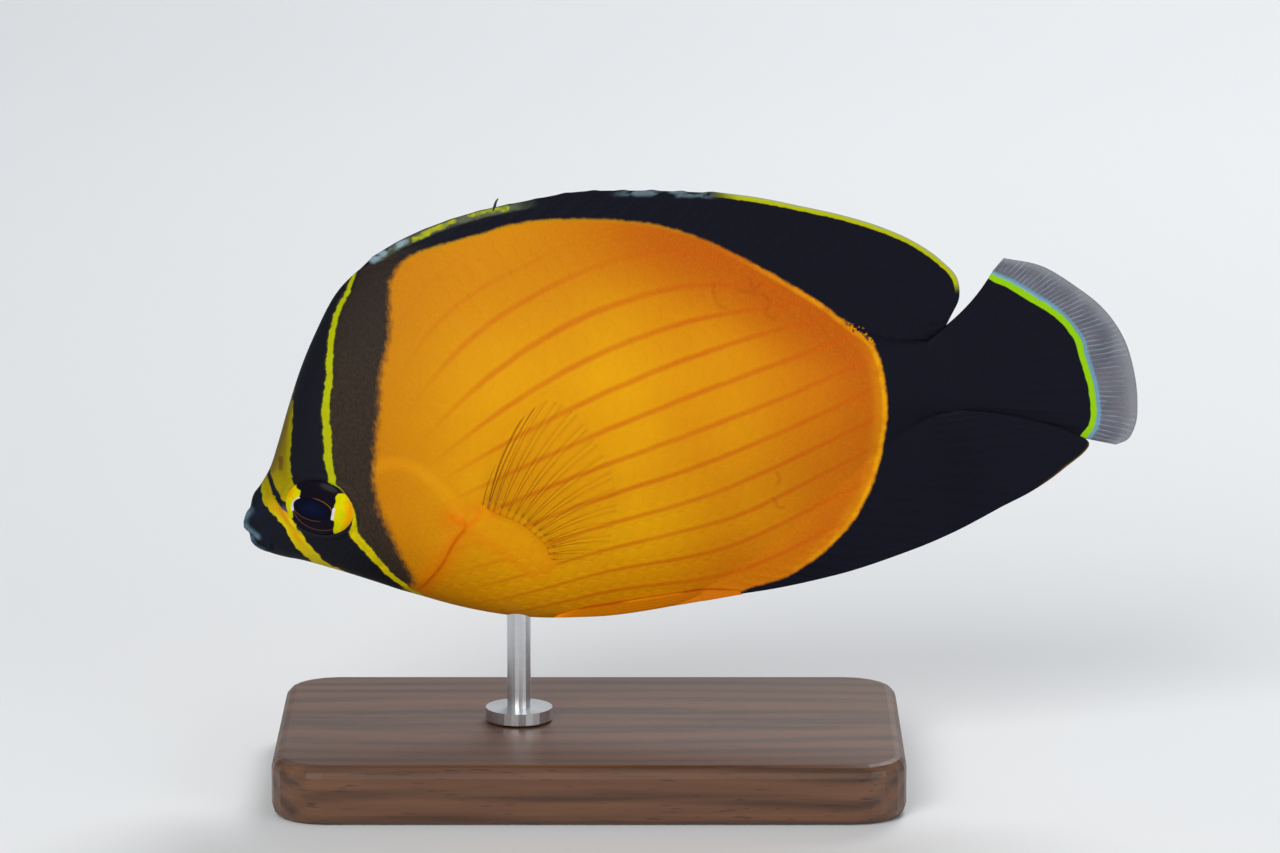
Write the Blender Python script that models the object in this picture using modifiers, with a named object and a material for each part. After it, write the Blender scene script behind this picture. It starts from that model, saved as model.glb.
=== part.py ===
"""An arabian butterflyfish, life size, swimming nose down over a plain display stand.

The fish is drawn in its own frame, in millimetres: u runs from the snout to the tail, v to the
fish's right and w up. Its tail is bent to the right, and an empty holds its nose down in the
world's frame. The world's origin is the middle of the underside of the stand's base.
"""

import math

import bmesh
import bpy
import numpy as np
from mathutils import Matrix, Vector

MM = 0.001

# Pose of the fish
TOTAL_LENGTH = 120.0
NOSE_DOWN = math.radians(11.5)
BEND_START = 50.0
BEND_AT_TAIL = 6.0
BELLY_HEIGHT = 36.0
SNOUT_TO_BASE_CENTRE = 46.0

# Gaps between neighbours, along the skin and across a fin's root
GAP = 0.3

# Where the body is parted
TAIL_STALK_START = 84.0
TAIL_STALK_END = 94.0

# Grid of the body's lofts
RING_STEPS = 20
HEAD_RINGS = 34
TRUNK_RINGS = 26
STALK_RINGS = 5

# Fin rays and spines
DORSAL_SPINES = 13
DORSAL_RAYS = 20
ANAL_SPINES = 3
ANAL_RAYS = 18
CAUDAL_RAYS = 17
PECTORAL_RAYS = 15
PELVIC_RAYS = 6

# Share of a dorsal spine's length that its membrane leaves bare
SPINE_NOTCH = 0.08

# Eye: half length, half height and half depth, and how far its long axis dips to the rear
EYE_CENTRE = (10.3, 0.4)
EYE_SIZE = (4.5, 3.45, 2.7)
EYE_DIP = math.radians(22)
EYE_FACES_FORWARD = math.radians(12)
EYE_STANDS_OUT = 0.9

# Stand
BASE_SIZE = (84.0, 50.0, 8.0)
BASE_CORNER = 7.0
BASE_EDGE = 1.5
ROD_RADIUS = 1.6
ROD_AT = 33.0
ROD_IN_BASE = 5.0
ROD_IN_BELLY = 5.0
FLANGE_RADIUS = 4.5
FLANGE_HEIGHT = 1.6


class Curve:
    """A smooth function through a few (x, y) points, level past its ends."""

    def __init__(self, *points):
        self.x, self.y = np.array(points, float).T
        self.slope = np.gradient(self.y, self.x)
        steps = np.abs(np.diff(self.y) / np.diff(self.x))
        most = 3 * np.minimum(steps[:-1], steps[1:])
        self.slope[1:-1] = np.clip(self.slope[1:-1], -most, most)

    def __call__(self, x):
        x = np.clip(x, self.x[0], self.x[-1])
        i = np.clip(np.searchsorted(self.x, x) - 1, 0, len(self.x) - 2)
        span = self.x[i + 1] - self.x[i]
        t = (x - self.x[i]) / span
        start = (1 + 2 * t) * (1 - t) ** 2 * self.y[i] + t * (1 - t) ** 2 * span * self.slope[i]
        end = t * t * (3 - 2 * t) * self.y[i + 1] - t * t * (1 - t) * span * self.slope[i + 1]
        return start + end


class Path:
    """A smooth line through a few (u, w) points, read by the share of its length."""

    def __init__(self, *points):
        points = np.array(points, float)
        steps = np.hypot(*np.diff(points, axis=0).T)
        along = np.concatenate(([0], np.cumsum(steps))) / steps.sum()
        self.u = Curve(*zip(along, points[:, 0]))
        self.w = Curve(*zip(along, points[:, 1]))

    def __call__(self, share):
        return float(self.u(share)), float(self.w(share))


def smooth_step(x):
    x = np.clip(x, 0, 1)
    return x * x * (3 - 2 * x)


# Outline of the flesh, along u
BACK = Curve(
    (-0.4, -0.9), (-0.2, 0.0), (0.4, 1.1), (1.3, 2.5), (2.8, 4.2), (4.6, 6.2), (6.4, 9.4),
    (8.6, 13.6), (11.5, 18.7), (14.5, 23.1), (18, 27.4), (22, 30.1), (27, 31.4), (33, 31.9),
    (40, 31.6), (48, 30.1), (58, 26.8), (68, 21.6), (78, 14.7), (85, 9.4), (90, 6.5), (95, 5.0),
)
BELLY = Curve(
    (-0.4, -1.6), (-0.2, -2.6), (0.4, -3.6), (1.3, -4.5), (2.8, -5.5), (6, -7.0), (10, -9.1),
    (20, -14.7), (26, -17.8), (32, -20.2), (38, -21.8), (44, -22.6), (50, -22.7), (56, -22.2),
    (62, -20.8), (70, -17.0), (78, -12.2), (86, -7.6), (91, -5.4), (95, -4.7),
)
# Height at which the body is widest, and half its width there
WIDEST_AT = Curve((0, -1.2), (10, -1.0), (20, -1.5), (30, 0.5), (50, 2.5), (75, 1.5), (95, 0.2))
HALF_WIDTH = Curve(
    (-0.4, 0.5), (0, 1.2), (1.2, 2.0), (3, 2.8), (6, 4.3), (10, 5.9), (15, 7.3), (20, 8.2),
    (26, 8.8), (34, 8.9), (44, 8.4), (54, 7.4), (64, 6.1), (74, 4.7), (83, 3.2), (90, 2.1), (95, 1.5),
)
# Half thickness of the ridge on back and belly, and how fast the flank closes on it
BACK_RIDGE = Curve((0, 0.3), (15, 0.3), (24, 0.9), (40, 1.1), (95, 1.0))
BELLY_RIDGE = Curve((0, 0.3), (50, 0.4), (58, 0.9), (66, 1.1), (95, 1.0))
BACK_TAPER = Curve((0, 0.52), (12, 0.6), (22, 0.82), (34, 1.05), (60, 1.1), (85, 0.8), (95, 0.6))
BELLY_TAPER = Curve((0, 0.52), (12, 0.6), (40, 0.7), (55, 0.95), (65, 1.1), (85, 0.8), (95, 0.6))

# Rear edge of the gill cover and, above it, where the head meets the nape: u by height
GILL_EDGE = Curve(
    (-14.5, 19.3), (-13.1, 20.6), (-11.7, 22.2), (-9.4, 24.5), (-7.7, 25.9), (-6.5, 27.2),
    (-5.4, 28.7), (-4.4, 28.8), (-2.3, 27.8), (0.7, 26.5), (2.3, 25.4), (3.9, 23.8), (5.1, 21.8),
    (6.4, 19.7), (9, 18.4), (15, 17.7), (22, 18.0), (28.5, 19.0),
)
NAPE_SPLIT = 19.0
GILL_BULGE = 0.35

# Margins of the fins
SPINY_MARGIN = Path(
    (24, 31.5), (28, 32.9), (33.5, 34.2), (42, 35.0), (50, 35.0), (60, 33.4), (69.8, 31.0),
)
SOFT_MARGIN = Path(
    (70.5, 30.8), (76, 28.8), (81, 26.6), (86, 24.3), (91, 21.5), (94.8, 18.7), (97.9, 15.4),
    (99.6, 12.4), (99.4, 10.0), (97.9, 8.1), (95.6, 6.6),
)
ANAL_MARGIN = Path(
    (60.5, -23.4), (68, -23.8), (76, -23.7), (84, -22.9), (92, -21.5), (99.2, -19.2), (104, -17.9),
    (108.5, -16.0), (112.7, -13.1), (110.6, -11.5), (105, -8.8), (100, -7.0), (95.2, -6.0),
)
CAUDAL_MARGIN = Path(
    (106.2, 13.8), (110.8, 11.7), (114.8, 8.0), (118.1, 3.9), (120.0, -0.6), (120.5, -5.2),
    (120.1, -10.0), (118.9, -13.7), (117.2, -14.5),
)
PECTORAL_BASE = Path((30.4, -4.4), (30.8, -6.8), (31.8, -9.6), (34.2, -12.4))
PECTORAL_ROOTS = Path((31.4, -3.5), (33.5, -5.2), (35.8, -6.9), (37.6, -9.0), (38.5, -12.0))
PECTORAL_MARGIN = Path(
    (34.3, 2.0), (40.7, 9.0), (43.7, 10.1), (46.1, 8.4), (48.4, 3.5), (49.7, -1.0), (49.6, -5.0),
    (48.3, -9.2), (46.5, -12.3), (44.4, -13.6),
)
PELVIC_LOWER = Path((37.6, -21.2), (45, -22.6), (54, -23.3), (63.2, -23.5))
PELVIC_UPPER = Path((38.8, -19.3), (46, -20.2), (54, -21.6), (62.6, -23.1))
MOUTH_LINE = Path((-0.35, -1.1), (0.4, -1.7), (1.0, -2.6), (1.7, -3.8))
NOSTRILS = ((4.3, 2.6, 0.26), (5.3, 2.2, 0.32))

COLOURS = {
    "head": (0.055, 0.035, 0.02, 0.5),
    "trunk": (0.80, 0.33, 0.01, 0.45),
    "tail_stalk": (0.010, 0.010, 0.014, 0.45),
    "fin": (0.012, 0.011, 0.016, 0.5),
    "clear_fin": (0.70, 0.42, 0.16, 0.4),
    "eye": (0.010, 0.014, 0.045, 0.12),
    "wood": (0.10, 0.045, 0.02, 0.5),
    "steel": (0.62, 0.63, 0.65, 0.3),
}


def material(name):
    red, green, blue, roughness = COLOURS[name]
    made = bpy.data.materials.get(name)
    if made is None:
        made = bpy.data.materials.new(name)
        made.use_nodes = True
        shader = made.node_tree.nodes["Principled BSDF"]
        shader.inputs["Base Color"].default_value = (red, green, blue, 1)
        shader.inputs["Roughness"].default_value = roughness
        shader.inputs["Metallic"].default_value = 1.0 if name == "steel" else 0.0
    return made


def bend(u):
    """How far the tail's bend moves the fish to its right."""
    past = np.maximum(0, (u - BEND_START) / (TOTAL_LENGTH - BEND_START))
    return BEND_AT_TAIL * past**2


def half_width(u, w):
    """Half the body's thickness at a point of its side view."""
    widest = WIDEST_AT(u)
    above = w > widest
    reach = np.where(above, BACK(u) - widest, widest - BELLY(u))
    ridge = np.where(above, BACK_RIDGE(u), BELLY_RIDGE(u))
    taper = np.where(above, BACK_TAPER(u), BELLY_TAPER(u))
    share = np.clip(np.abs(w - widest) / reach, 0, 1)
    return ridge + (HALF_WIDTH(u) - ridge) * (1 - share**2) ** taper


def head_relief(u, w):
    """Rise of the eye's fleshy rim, of the lips and of the gill cover's edge."""
    along = (u - EYE_CENTRE[0]) * math.cos(EYE_DIP) - (w - EYE_CENTRE[1]) * math.sin(EYE_DIP)
    across = (u - EYE_CENTRE[0]) * math.sin(EYE_DIP) + (w - EYE_CENTRE[1]) * math.cos(EYE_DIP)
    ring = np.hypot(along / EYE_SIZE[0], across / EYE_SIZE[1])
    rim = 0.35 * np.exp(-(((ring - 1.12) / 0.14) ** 2))
    lips = 0.3 * np.exp(-(((u - 0.6) / 0.9) ** 2)) * np.exp(-(((w + 2.2) / 1.6) ** 2))
    behind = np.exp(-(((GILL_EDGE(w) - u) / 3.0) ** 2)) * smooth_step((5.0 - w) / 4.0)
    cover = GILL_BULGE * behind * smooth_step((w + 14.0) / 4.0)
    return rim + lips + cover


def add_object(name, mesh, finish, parent=None):
    mesh.materials.append(material(finish))
    made = bpy.data.objects.new(name, mesh)
    made.parent = parent
    bpy.data.collections["arabian_butterflyfish"].objects.link(made)
    return made


def mesh_from(name, points, faces):
    """A closed mesh from points in the fish's frame, with the tail's bend put in."""
    points = np.array(points, float)
    points[:, 1] += bend(points[:, 0])
    mesh = bpy.data.meshes.new(name)
    mesh.from_pydata((points * MM).tolist(), [], faces)
    shape = bmesh.new()
    shape.from_mesh(mesh)
    bmesh.ops.recalc_face_normals(shape, faces=shape.faces)
    shape.to_mesh(mesh)
    shape.free()
    mesh.shade_smooth()
    mesh.set_sharp_from_angle(angle=math.radians(50))
    return mesh


def ring(station, gill_share, gap=0.0, relief=None):
    """Points down one flank at a station, following the gill edge by its share of it."""
    s = np.cos(np.linspace(0, math.pi, RING_STEPS + 1))
    u = np.full_like(s, station)
    for _ in range(40):
        widest = WIDEST_AT(u)
        w = widest + s * np.where(s > 0, BACK(u) - widest, widest - BELLY(u))
        slope = (GILL_EDGE(w + 0.1) - GILL_EDGE(w - 0.1)) / 0.2
        shift = GILL_EDGE(w) - NAPE_SPLIT + gap * np.sqrt(1 + slope**2)
        u = (u + station + gill_share * shift) / 2
    v = half_width(u, w)
    if relief:
        v = v + relief(u, w) * (1 - s**2) ** 0.5
    return np.stack((u, v, w), axis=1)


def loft(name, rings, finish, parent):
    """A length of the body: each ring down the right flank and back up the left."""
    points = []
    faces = []
    count = 2 * len(rings[0])
    for flank in rings:
        points += flank.tolist()
        points += (flank[::-1] * (1, -1, 1)).tolist()
    for r in range(len(rings) - 1):
        start = r * count
        for i in range(count):
            j = (i + 1) % count
            faces.append((start + i, start + j, start + count + j, start + count + i))
    for start in (0, (len(rings) - 1) * count):
        for i in range(count // 2 - 1):
            faces.append((start + i, start + i + 1, start + count - 2 - i, start + count - 1 - i))
    return add_object(name, mesh_from(name, points, faces), finish, parent)


def sheet(name, columns, finish, parent, side=1):
    """A fin: columns of (u, middle v, w, half thickness), split alike on both faces."""
    rows = len(columns[0])
    points = []
    for column in columns:
        for u, middle, w, half in column:
            points.append((u, side * (middle - half), w))
            points.append((u, side * (middle + half), w))

    def at(i, j, face):
        return 2 * (i * rows + j) + face

    faces = []
    for face in (0, 1):
        for i in range(len(columns) - 1):
            for j in range(rows - 1):
                faces.append((at(i, j, face), at(i + 1, j, face), at(i + 1, j + 1, face)))
                faces.append((at(i, j, face), at(i + 1, j + 1, face), at(i, j + 1, face)))
    last = len(columns) - 1
    rim = [(i, 0) for i in range(last)]
    rim += [(last, j) for j in range(rows - 1)]
    rim += [(i, rows - 1) for i in range(last, 0, -1)]
    rim += [(0, j) for j in range(rows - 1, 0, -1)]
    for (i, j), (k, m) in zip(rim, rim[1:] + rim[:1]):
        faces.append((at(i, j, 0), at(k, m, 0), at(k, m, 1)))
        faces.append((at(i, j, 0), at(k, m, 1), at(i, j, 1)))
    return add_object(name, mesh_from(name, points, faces), finish, parent)


def ray_columns(count, root, tip, thickness, rows=6, sweep=0.0, middle=None, notch=0.0):
    """Ray, membrane, ray and so on: each a curved line of points from root to tip.

    The membrane stops short of the tips of its rays by the notch, a share of their length.
    """
    columns = []
    for k in range(2 * count - 1):
        share = k / (2 * count - 2)
        on_ray = k % 2 == 0
        start = np.array(root(share))
        end = np.array(tip(share))
        knee = (start + end) / 2 + sweep * np.array((end[1] - start[1], start[0] - end[0]))
        column = []
        for t in np.linspace(0, 1 if on_ray else 1 - notch, rows):
            u, w = (1 - t) ** 2 * start + 2 * t * (1 - t) * knee + t * t * end
            column.append((u, middle(u, w) if middle else 0.0, w, thickness(on_ray, t, share)))
        columns.append(column)
    return columns


def root_line(outline, first, last, side):
    """Line of a fin's root along the back or belly, one gap outside the flesh."""
    def at(share):
        u = first + (last - first) * share
        slope = (outline(u + 0.5) - outline(u - 0.5)) / 1.0
        return float(u), float(outline(u) + side * GAP * math.sqrt(1 + slope**2))
    return at


def spine_thickness(on_ray, t, share):
    if on_ray:
        return 0.75 - 0.5 * t
    return 0.6 - 0.33 * t


def ray_thickness(on_ray, t, share):
    thick = 1.0 - 0.62 * t if on_ray else 0.82 - 0.55 * t
    return thick * (0.8 + 0.2 * smooth_step(share * 6))


def make_body(parent):
    """Head, trunk and tail stalk, parted along the gill cover and ahead of the tail fin."""
    rings = []
    for share in np.linspace(0, 1, HEAD_RINGS):
        station = -0.4 + (NAPE_SPLIT + 0.4) * share**1.5
        rings.append(ring(station, smooth_step((station - 5.0) / 14.0), relief=head_relief))
    head = loft("head", rings, "head", parent)
    rings = []
    for share in np.linspace(0, 1, TRUNK_RINGS):
        station = NAPE_SPLIT + (TAIL_STALK_START - NAPE_SPLIT) * share
        rings.append(ring(station, 1 - smooth_step(share * 2.0), GAP))
    trunk = loft("trunk", rings, "trunk", parent)
    stations = np.linspace(TAIL_STALK_START + GAP, TAIL_STALK_END, STALK_RINGS)
    loft("tail_stalk", [ring(station, 0) for station in stations], "tail_stalk", parent)
    return head, trunk


def make_dorsal_fins(parent):
    """Thirteen spines laid back in the front fin, and twenty rays in the rear one."""
    spines = ray_columns(
        DORSAL_SPINES, root_line(BACK, 20.3, 60.5, 1), SPINY_MARGIN, spine_thickness, rows=5,
        notch=SPINE_NOTCH,
    )
    sheet("dorsal_fin_spiny", spines, "fin", parent)
    rays = ray_columns(
        DORSAL_RAYS, root_line(BACK, 61.2, 92.2, 1), SOFT_MARGIN, ray_thickness, sweep=0.03,
    )
    sheet("dorsal_fin_soft", rays, "fin", parent)


def make_anal_fin(parent):
    """The anal fin: its rear lobe passes the tail fin on the left."""
    def middle(u, w):
        return -1.3 * float(smooth_step((u - 91) / 8))

    rays = ray_columns(
        ANAL_SPINES + ANAL_RAYS, root_line(BELLY, 57.5, 92.6, -1), ANAL_MARGIN, ray_thickness,
        sweep=-0.03, middle=middle,
    )
    sheet("anal_fin", rays, "fin", parent)


def make_caudal_fin(parent):
    def root(share):
        return TAIL_STALK_END + GAP, 4.7 - 9.2 * share

    def thickness(on_ray, t, share):
        return 0.95 - 0.6 * t if on_ray else 0.75 - 0.48 * t

    columns = ray_columns(CAUDAL_RAYS, root, CAUDAL_MARGIN, thickness, rows=7)
    sheet("caudal_fin", columns, "fin", parent)


def make_pectoral_fin(name, side, parent):
    """A fleshy pad against the flank, and a fan of rays that stands off it to the rear."""
    columns = []
    for k in range(2 * PECTORAL_RAYS - 1):
        share = k / (2 * PECTORAL_RAYS - 2)
        on_ray = k % 2 == 0
        base = np.array(PECTORAL_BASE(share))
        root = np.array(PECTORAL_ROOTS(share))
        tip = np.array(PECTORAL_MARGIN(share))
        places = [base, (base + root) / 2]
        places += [root + (tip - root) * t for t in np.linspace(0, 1, 6)]
        column = []
        for i, (u, w) in enumerate(places):
            half = (0.75, 0.7, 0.5, 0.42, 0.38, 0.35, 0.32, 0.28)[i]
            if i > 1 and not on_ray:
                half = 0.26
            off = 0.22 * math.dist((u, w), base)
            column.append((u, -float(half_width(u, w)) - GAP - 0.1 - half - off, w, half))
        columns.append(column)
    sheet(name, columns, "clear_fin", parent, side)


def make_pelvic_fin(name, side, parent):
    """A spine and five rays folded back along the belly."""
    columns = []
    for k in range(2 * PELVIC_RAYS - 1):
        share = k / (2 * PELVIC_RAYS - 2)
        column = []
        for t in np.linspace(0, 1, 9):
            lower = np.array(PELVIC_LOWER(t))
            upper = np.array(PELVIC_UPPER(t))
            u, w = lower + (upper - lower) * share
            half = (0.6 if k % 2 == 0 else 0.42) * (1 - 0.45 * t)
            beside = float(half_width(u, w + 0.9)) + GAP + 0.1 + half
            column.append((u, -beside, w, half))
        columns.append(column)
    sheet(name, columns, "trunk", parent, side)


def eye_frame(side, grow=0.0):
    """Places a unit ball as the eye: sized, dipped to the rear and turned forward."""
    u, w = EYE_CENTRE
    depth = float(half_width(u, w)) + EYE_STANDS_OUT - EYE_SIZE[2]
    length, height, thick = (size + grow for size in EYE_SIZE)
    size = Matrix.Diagonal((length, thick, height, 1))
    dip = Matrix.Rotation(EYE_DIP, 4, "Y")
    turn = Matrix.Rotation(-side * EYE_FACES_FORWARD, 4, "Z")
    place = Matrix.Translation((u, side * depth, w))
    return Matrix.Scale(MM, 4) @ place @ turn @ dip @ size


def ball_mesh(name, frame, segments, rings):
    shape = bmesh.new()
    bmesh.ops.create_uvsphere(shape, u_segments=segments, v_segments=rings, radius=1)
    bmesh.ops.rotate(shape, verts=shape.verts, matrix=Matrix.Rotation(math.pi / 2, 3, "X"))
    bmesh.ops.transform(shape, matrix=frame, verts=shape.verts)
    mesh = bpy.data.meshes.new(name)
    shape.to_mesh(mesh)
    shape.free()
    mesh.shade_smooth()
    return mesh


def cylinder_mesh(name, radius, bottom, top, sides=20):
    """An upright cylinder about its own axis, from bottom to top."""
    shape = bmesh.new()
    bmesh.ops.create_cone(
        shape, cap_ends=True, segments=sides, radius1=radius * MM, radius2=radius * MM,
        depth=(top - bottom) * MM,
    )
    bmesh.ops.translate(shape, vec=(0, 0, (top + bottom) / 2 * MM), verts=shape.verts)
    mesh = bpy.data.meshes.new(name)
    shape.to_mesh(mesh)
    shape.free()
    mesh.shade_smooth()
    mesh.set_sharp_from_angle(angle=math.radians(40))
    return mesh


def add_cutter(name, mesh, parent=None):
    cutter = bpy.data.objects.new(name, mesh)
    cutter.parent = parent
    cutter.hide_render = True
    cutter.display_type = "WIRE"
    bpy.data.collections["cutters"].objects.link(cutter)
    return cutter


def cut(target, cutter):
    modifier = target.modifiers.new(cutter.name, "BOOLEAN")
    modifier.operation = "DIFFERENCE"
    modifier.object = cutter


def make_eyes(head, parent):
    for name, side in (("left", -1), ("right", 1)):
        add_object(f"eye_{name}", ball_mesh(name, eye_frame(side), 24, 14), "eye", parent)
        socket = ball_mesh("socket", eye_frame(side, GAP), 24, 14)
        cut(head, add_cutter(f"socket_{name}", socket, parent))


def cut_mouth(head, parent):
    """A groove along the line between the lips, from one corner round to the other."""
    route = []
    for share in np.linspace(1, 0, 7):
        u, w = MOUTH_LINE(share)
        route.append((u, float(half_width(u, w) + head_relief(u, w)) * (share > 0), w))
    route += [(u, -v, w) for u, v, w in route[-2::-1]]
    line = bpy.data.curves.new("mouth", "CURVE")
    line.dimensions = "3D"
    line.bevel_depth = 0.28 * MM
    line.bevel_resolution = 1
    line.use_fill_caps = True
    spline = line.splines.new("POLY")
    spline.points.add(len(route) - 1)
    for point, place in zip(spline.points, route):
        point.co = (*(Vector(place) * MM), 1)
    tube = bpy.data.objects.new("mouth", line)
    bpy.data.collections["cutters"].objects.link(tube)
    depsgraph = bpy.context.evaluated_depsgraph_get()
    mesh = bpy.data.meshes.new_from_object(tube.evaluated_get(depsgraph))
    bpy.data.objects.remove(tube)
    shape = bmesh.new()
    shape.from_mesh(mesh)
    bmesh.ops.remove_doubles(shape, verts=shape.verts, dist=0.01 * MM)
    bmesh.ops.recalc_face_normals(shape, faces=shape.faces)
    shape.to_mesh(mesh)
    shape.free()
    cut(head, add_cutter("mouth_line", mesh, parent))


def cut_nostrils(head, parent):
    """Two pits on each side, one ahead of the other, between the eye and the lips."""
    for i, (u, w, radius) in enumerate(NOSTRILS):
        for name, side in (("left", -1), ("right", 1)):
            depth = float(half_width(u, w)) - 0.7
            pit = cylinder_mesh("pit", radius, depth, depth + 2.0, 10)
            cutter = add_cutter(f"nostril_{i}_{name}", pit, parent)
            cutter.location = Vector((u, 0, w)) * MM
            cutter.rotation_euler.x = -side * math.pi / 2
            cut(head, cutter)


def make_stand(trunk):
    """A wooden base with rounded edges, and a steel rod with a flange up into the belly."""
    length, width, height = (size * MM for size in BASE_SIZE)
    shape = bmesh.new()
    bmesh.ops.create_cube(shape, size=1, matrix=Matrix.Diagonal((length, width, height, 1)))
    bmesh.ops.translate(shape, vec=(0, 0, height / 2), verts=shape.verts)
    upright = [e for e in shape.edges if abs(e.verts[0].co.z - e.verts[1].co.z) > height / 2]
    bmesh.ops.bevel(
        shape, geom=upright, offset=BASE_CORNER * MM, segments=5, profile=0.5, affect="EDGES",
    )
    mesh = bpy.data.meshes.new("stand_base")
    shape.to_mesh(mesh)
    shape.free()
    base = add_object("stand_base", mesh, "wood")
    rounded = base.modifiers.new("edges", "BEVEL")
    rounded.width = BASE_EDGE * MM
    rounded.segments = 3
    rounded.angle_limit = math.radians(40)

    u, w = ROD_AT, float(BELLY(ROD_AT))
    x = u * math.cos(NOSE_DOWN) - w * math.sin(NOSE_DOWN) - SNOUT_TO_BASE_CENTRE
    belly = u * math.sin(NOSE_DOWN) + w * math.cos(NOSE_DOWN) + BELLY_HEIGHT
    top = belly + ROD_IN_BELLY
    bottom = BASE_SIZE[2] - ROD_IN_BASE
    rod = add_object("stand_rod", cylinder_mesh("stand_rod", ROD_RADIUS, bottom, top), "steel")
    rod.location.x = x * MM
    flange_foot = BASE_SIZE[2] + GAP
    flange = cylinder_mesh("flange", FLANGE_RADIUS, flange_foot, flange_foot + FLANGE_HEIGHT, 28)
    ring_piece = add_cutter("flange", flange)
    ring_piece.location.x = x * MM
    joined = rod.modifiers.new("flange", "BOOLEAN")
    joined.operation = "UNION"
    joined.object = ring_piece

    for target, low, high in ((base, bottom - GAP, bottom + 20), (trunk, belly - 10, top + GAP)):
        hole = cylinder_mesh("hole", ROD_RADIUS + GAP, low, high)
        cutter = add_cutter(f"hole_{target.name}", hole)
        cutter.location.x = x * MM
        cut(target, cutter)


def main():
    for old in list(bpy.data.objects):
        bpy.data.objects.remove(old)
    for name in ("arabian_butterflyfish", "cutters"):
        bpy.context.scene.collection.children.link(bpy.data.collections.new(name))

    fish = bpy.data.objects.new("fish_pose", None)
    fish.location = Vector((-SNOUT_TO_BASE_CENTRE, 0, BELLY_HEIGHT)) * MM
    fish.rotation_euler.y = -NOSE_DOWN
    bpy.data.collections["arabian_butterflyfish"].objects.link(fish)

    head, trunk = make_body(fish)
    make_dorsal_fins(fish)
    make_anal_fin(fish)
    make_caudal_fin(fish)
    for name, side in (("left", 1), ("right", -1)):
        make_pectoral_fin(f"pectoral_fin_{name}", side, fish)
        make_pelvic_fin(f"pelvic_fin_{name}", side, fish)
    make_eyes(head, fish)
    cut_mouth(head, fish)
    cut_nostrils(head, fish)
    make_stand(trunk)


main()
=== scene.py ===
# %% [markdown]
# # An arabian butterflyfish on a display stand
#
# A museum shows a small reef fish as a painted cast, held up by a rod because there is no water
# to float in. The solids that carry this model are made already and come in as a fixed frame.
# Everything below is drawn in the same frame, so nothing has to be fitted afterwards.

# %% Load the frame
import math
from dataclasses import dataclass

import bpy
import numpy as np
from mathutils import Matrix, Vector
from mathutils.bvhtree import BVHTree


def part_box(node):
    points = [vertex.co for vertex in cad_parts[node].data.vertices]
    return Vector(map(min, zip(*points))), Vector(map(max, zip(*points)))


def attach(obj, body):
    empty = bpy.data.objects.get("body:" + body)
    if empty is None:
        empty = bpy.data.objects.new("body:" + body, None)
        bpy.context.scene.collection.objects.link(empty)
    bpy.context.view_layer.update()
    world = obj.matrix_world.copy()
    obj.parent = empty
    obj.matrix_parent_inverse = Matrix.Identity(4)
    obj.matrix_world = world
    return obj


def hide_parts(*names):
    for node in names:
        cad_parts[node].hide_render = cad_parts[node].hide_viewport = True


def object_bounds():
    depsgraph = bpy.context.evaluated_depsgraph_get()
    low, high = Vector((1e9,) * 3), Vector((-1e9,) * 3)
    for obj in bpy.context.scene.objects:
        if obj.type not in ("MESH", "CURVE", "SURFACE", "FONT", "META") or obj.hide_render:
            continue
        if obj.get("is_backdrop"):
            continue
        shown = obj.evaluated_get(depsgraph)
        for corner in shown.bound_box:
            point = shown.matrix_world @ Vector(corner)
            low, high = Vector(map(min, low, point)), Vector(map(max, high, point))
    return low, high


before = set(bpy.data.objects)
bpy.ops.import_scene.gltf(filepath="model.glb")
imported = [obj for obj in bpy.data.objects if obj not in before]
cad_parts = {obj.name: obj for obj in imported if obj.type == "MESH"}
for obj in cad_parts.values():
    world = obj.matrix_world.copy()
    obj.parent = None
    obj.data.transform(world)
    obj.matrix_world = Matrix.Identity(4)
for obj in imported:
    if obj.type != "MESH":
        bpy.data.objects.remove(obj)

cad_box = [[float(x) for x in corner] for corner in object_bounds()]
print("solids reach from", cad_box[0], "to", cad_box[1])

# %% [markdown]
# ## A frame of the fish's own
#
# A fish is easiest to draw straight and level: u runs from the snout to the tail, v to its right
# and w up, all in millimetres. One function then bends the tail, tips the nose down and sets the
# fish over the stand. Bending the drawing last keeps every curve below simple.

# %% From the fish's frame to the room
MM = 0.001
NOSE_DOWN = math.radians(11.5)
TOTAL_LENGTH = 120.0
BEND_START = 50.0
BEND_AT_TAIL = 6.0
BELLY_HEIGHT = 36.0
SNOUT_TO_BASE_CENTRE = 46.0


def in_the_room(points):
    """Places in the fish's frame, in millimetres, as places in the room, in metres."""
    u, v, w = np.asarray(points, float).reshape(-1, 3).T
    past = np.maximum(0, (u - BEND_START) / (TOTAL_LENGTH - BEND_START))
    x = u * math.cos(NOSE_DOWN) - w * math.sin(NOSE_DOWN) - SNOUT_TO_BASE_CENTRE
    y = v + BEND_AT_TAIL * past**2
    z = u * math.sin(NOSE_DOWN) + w * math.cos(NOSE_DOWN) + BELLY_HEIGHT
    return np.stack((x, y, z), axis=1) * MM


print("snout at", in_the_room([(0, 0, -1.2)])[0].round(4))

# %% [markdown]
# ## Curves through a few points
#
# The outline, the thickness and the markings all come from short lists of points, each one a
# place that an eye can find on the fish. A cubic through them with limited slopes never
# overshoots, which a plain spline does just where a snout or a fin is thinnest.


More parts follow.
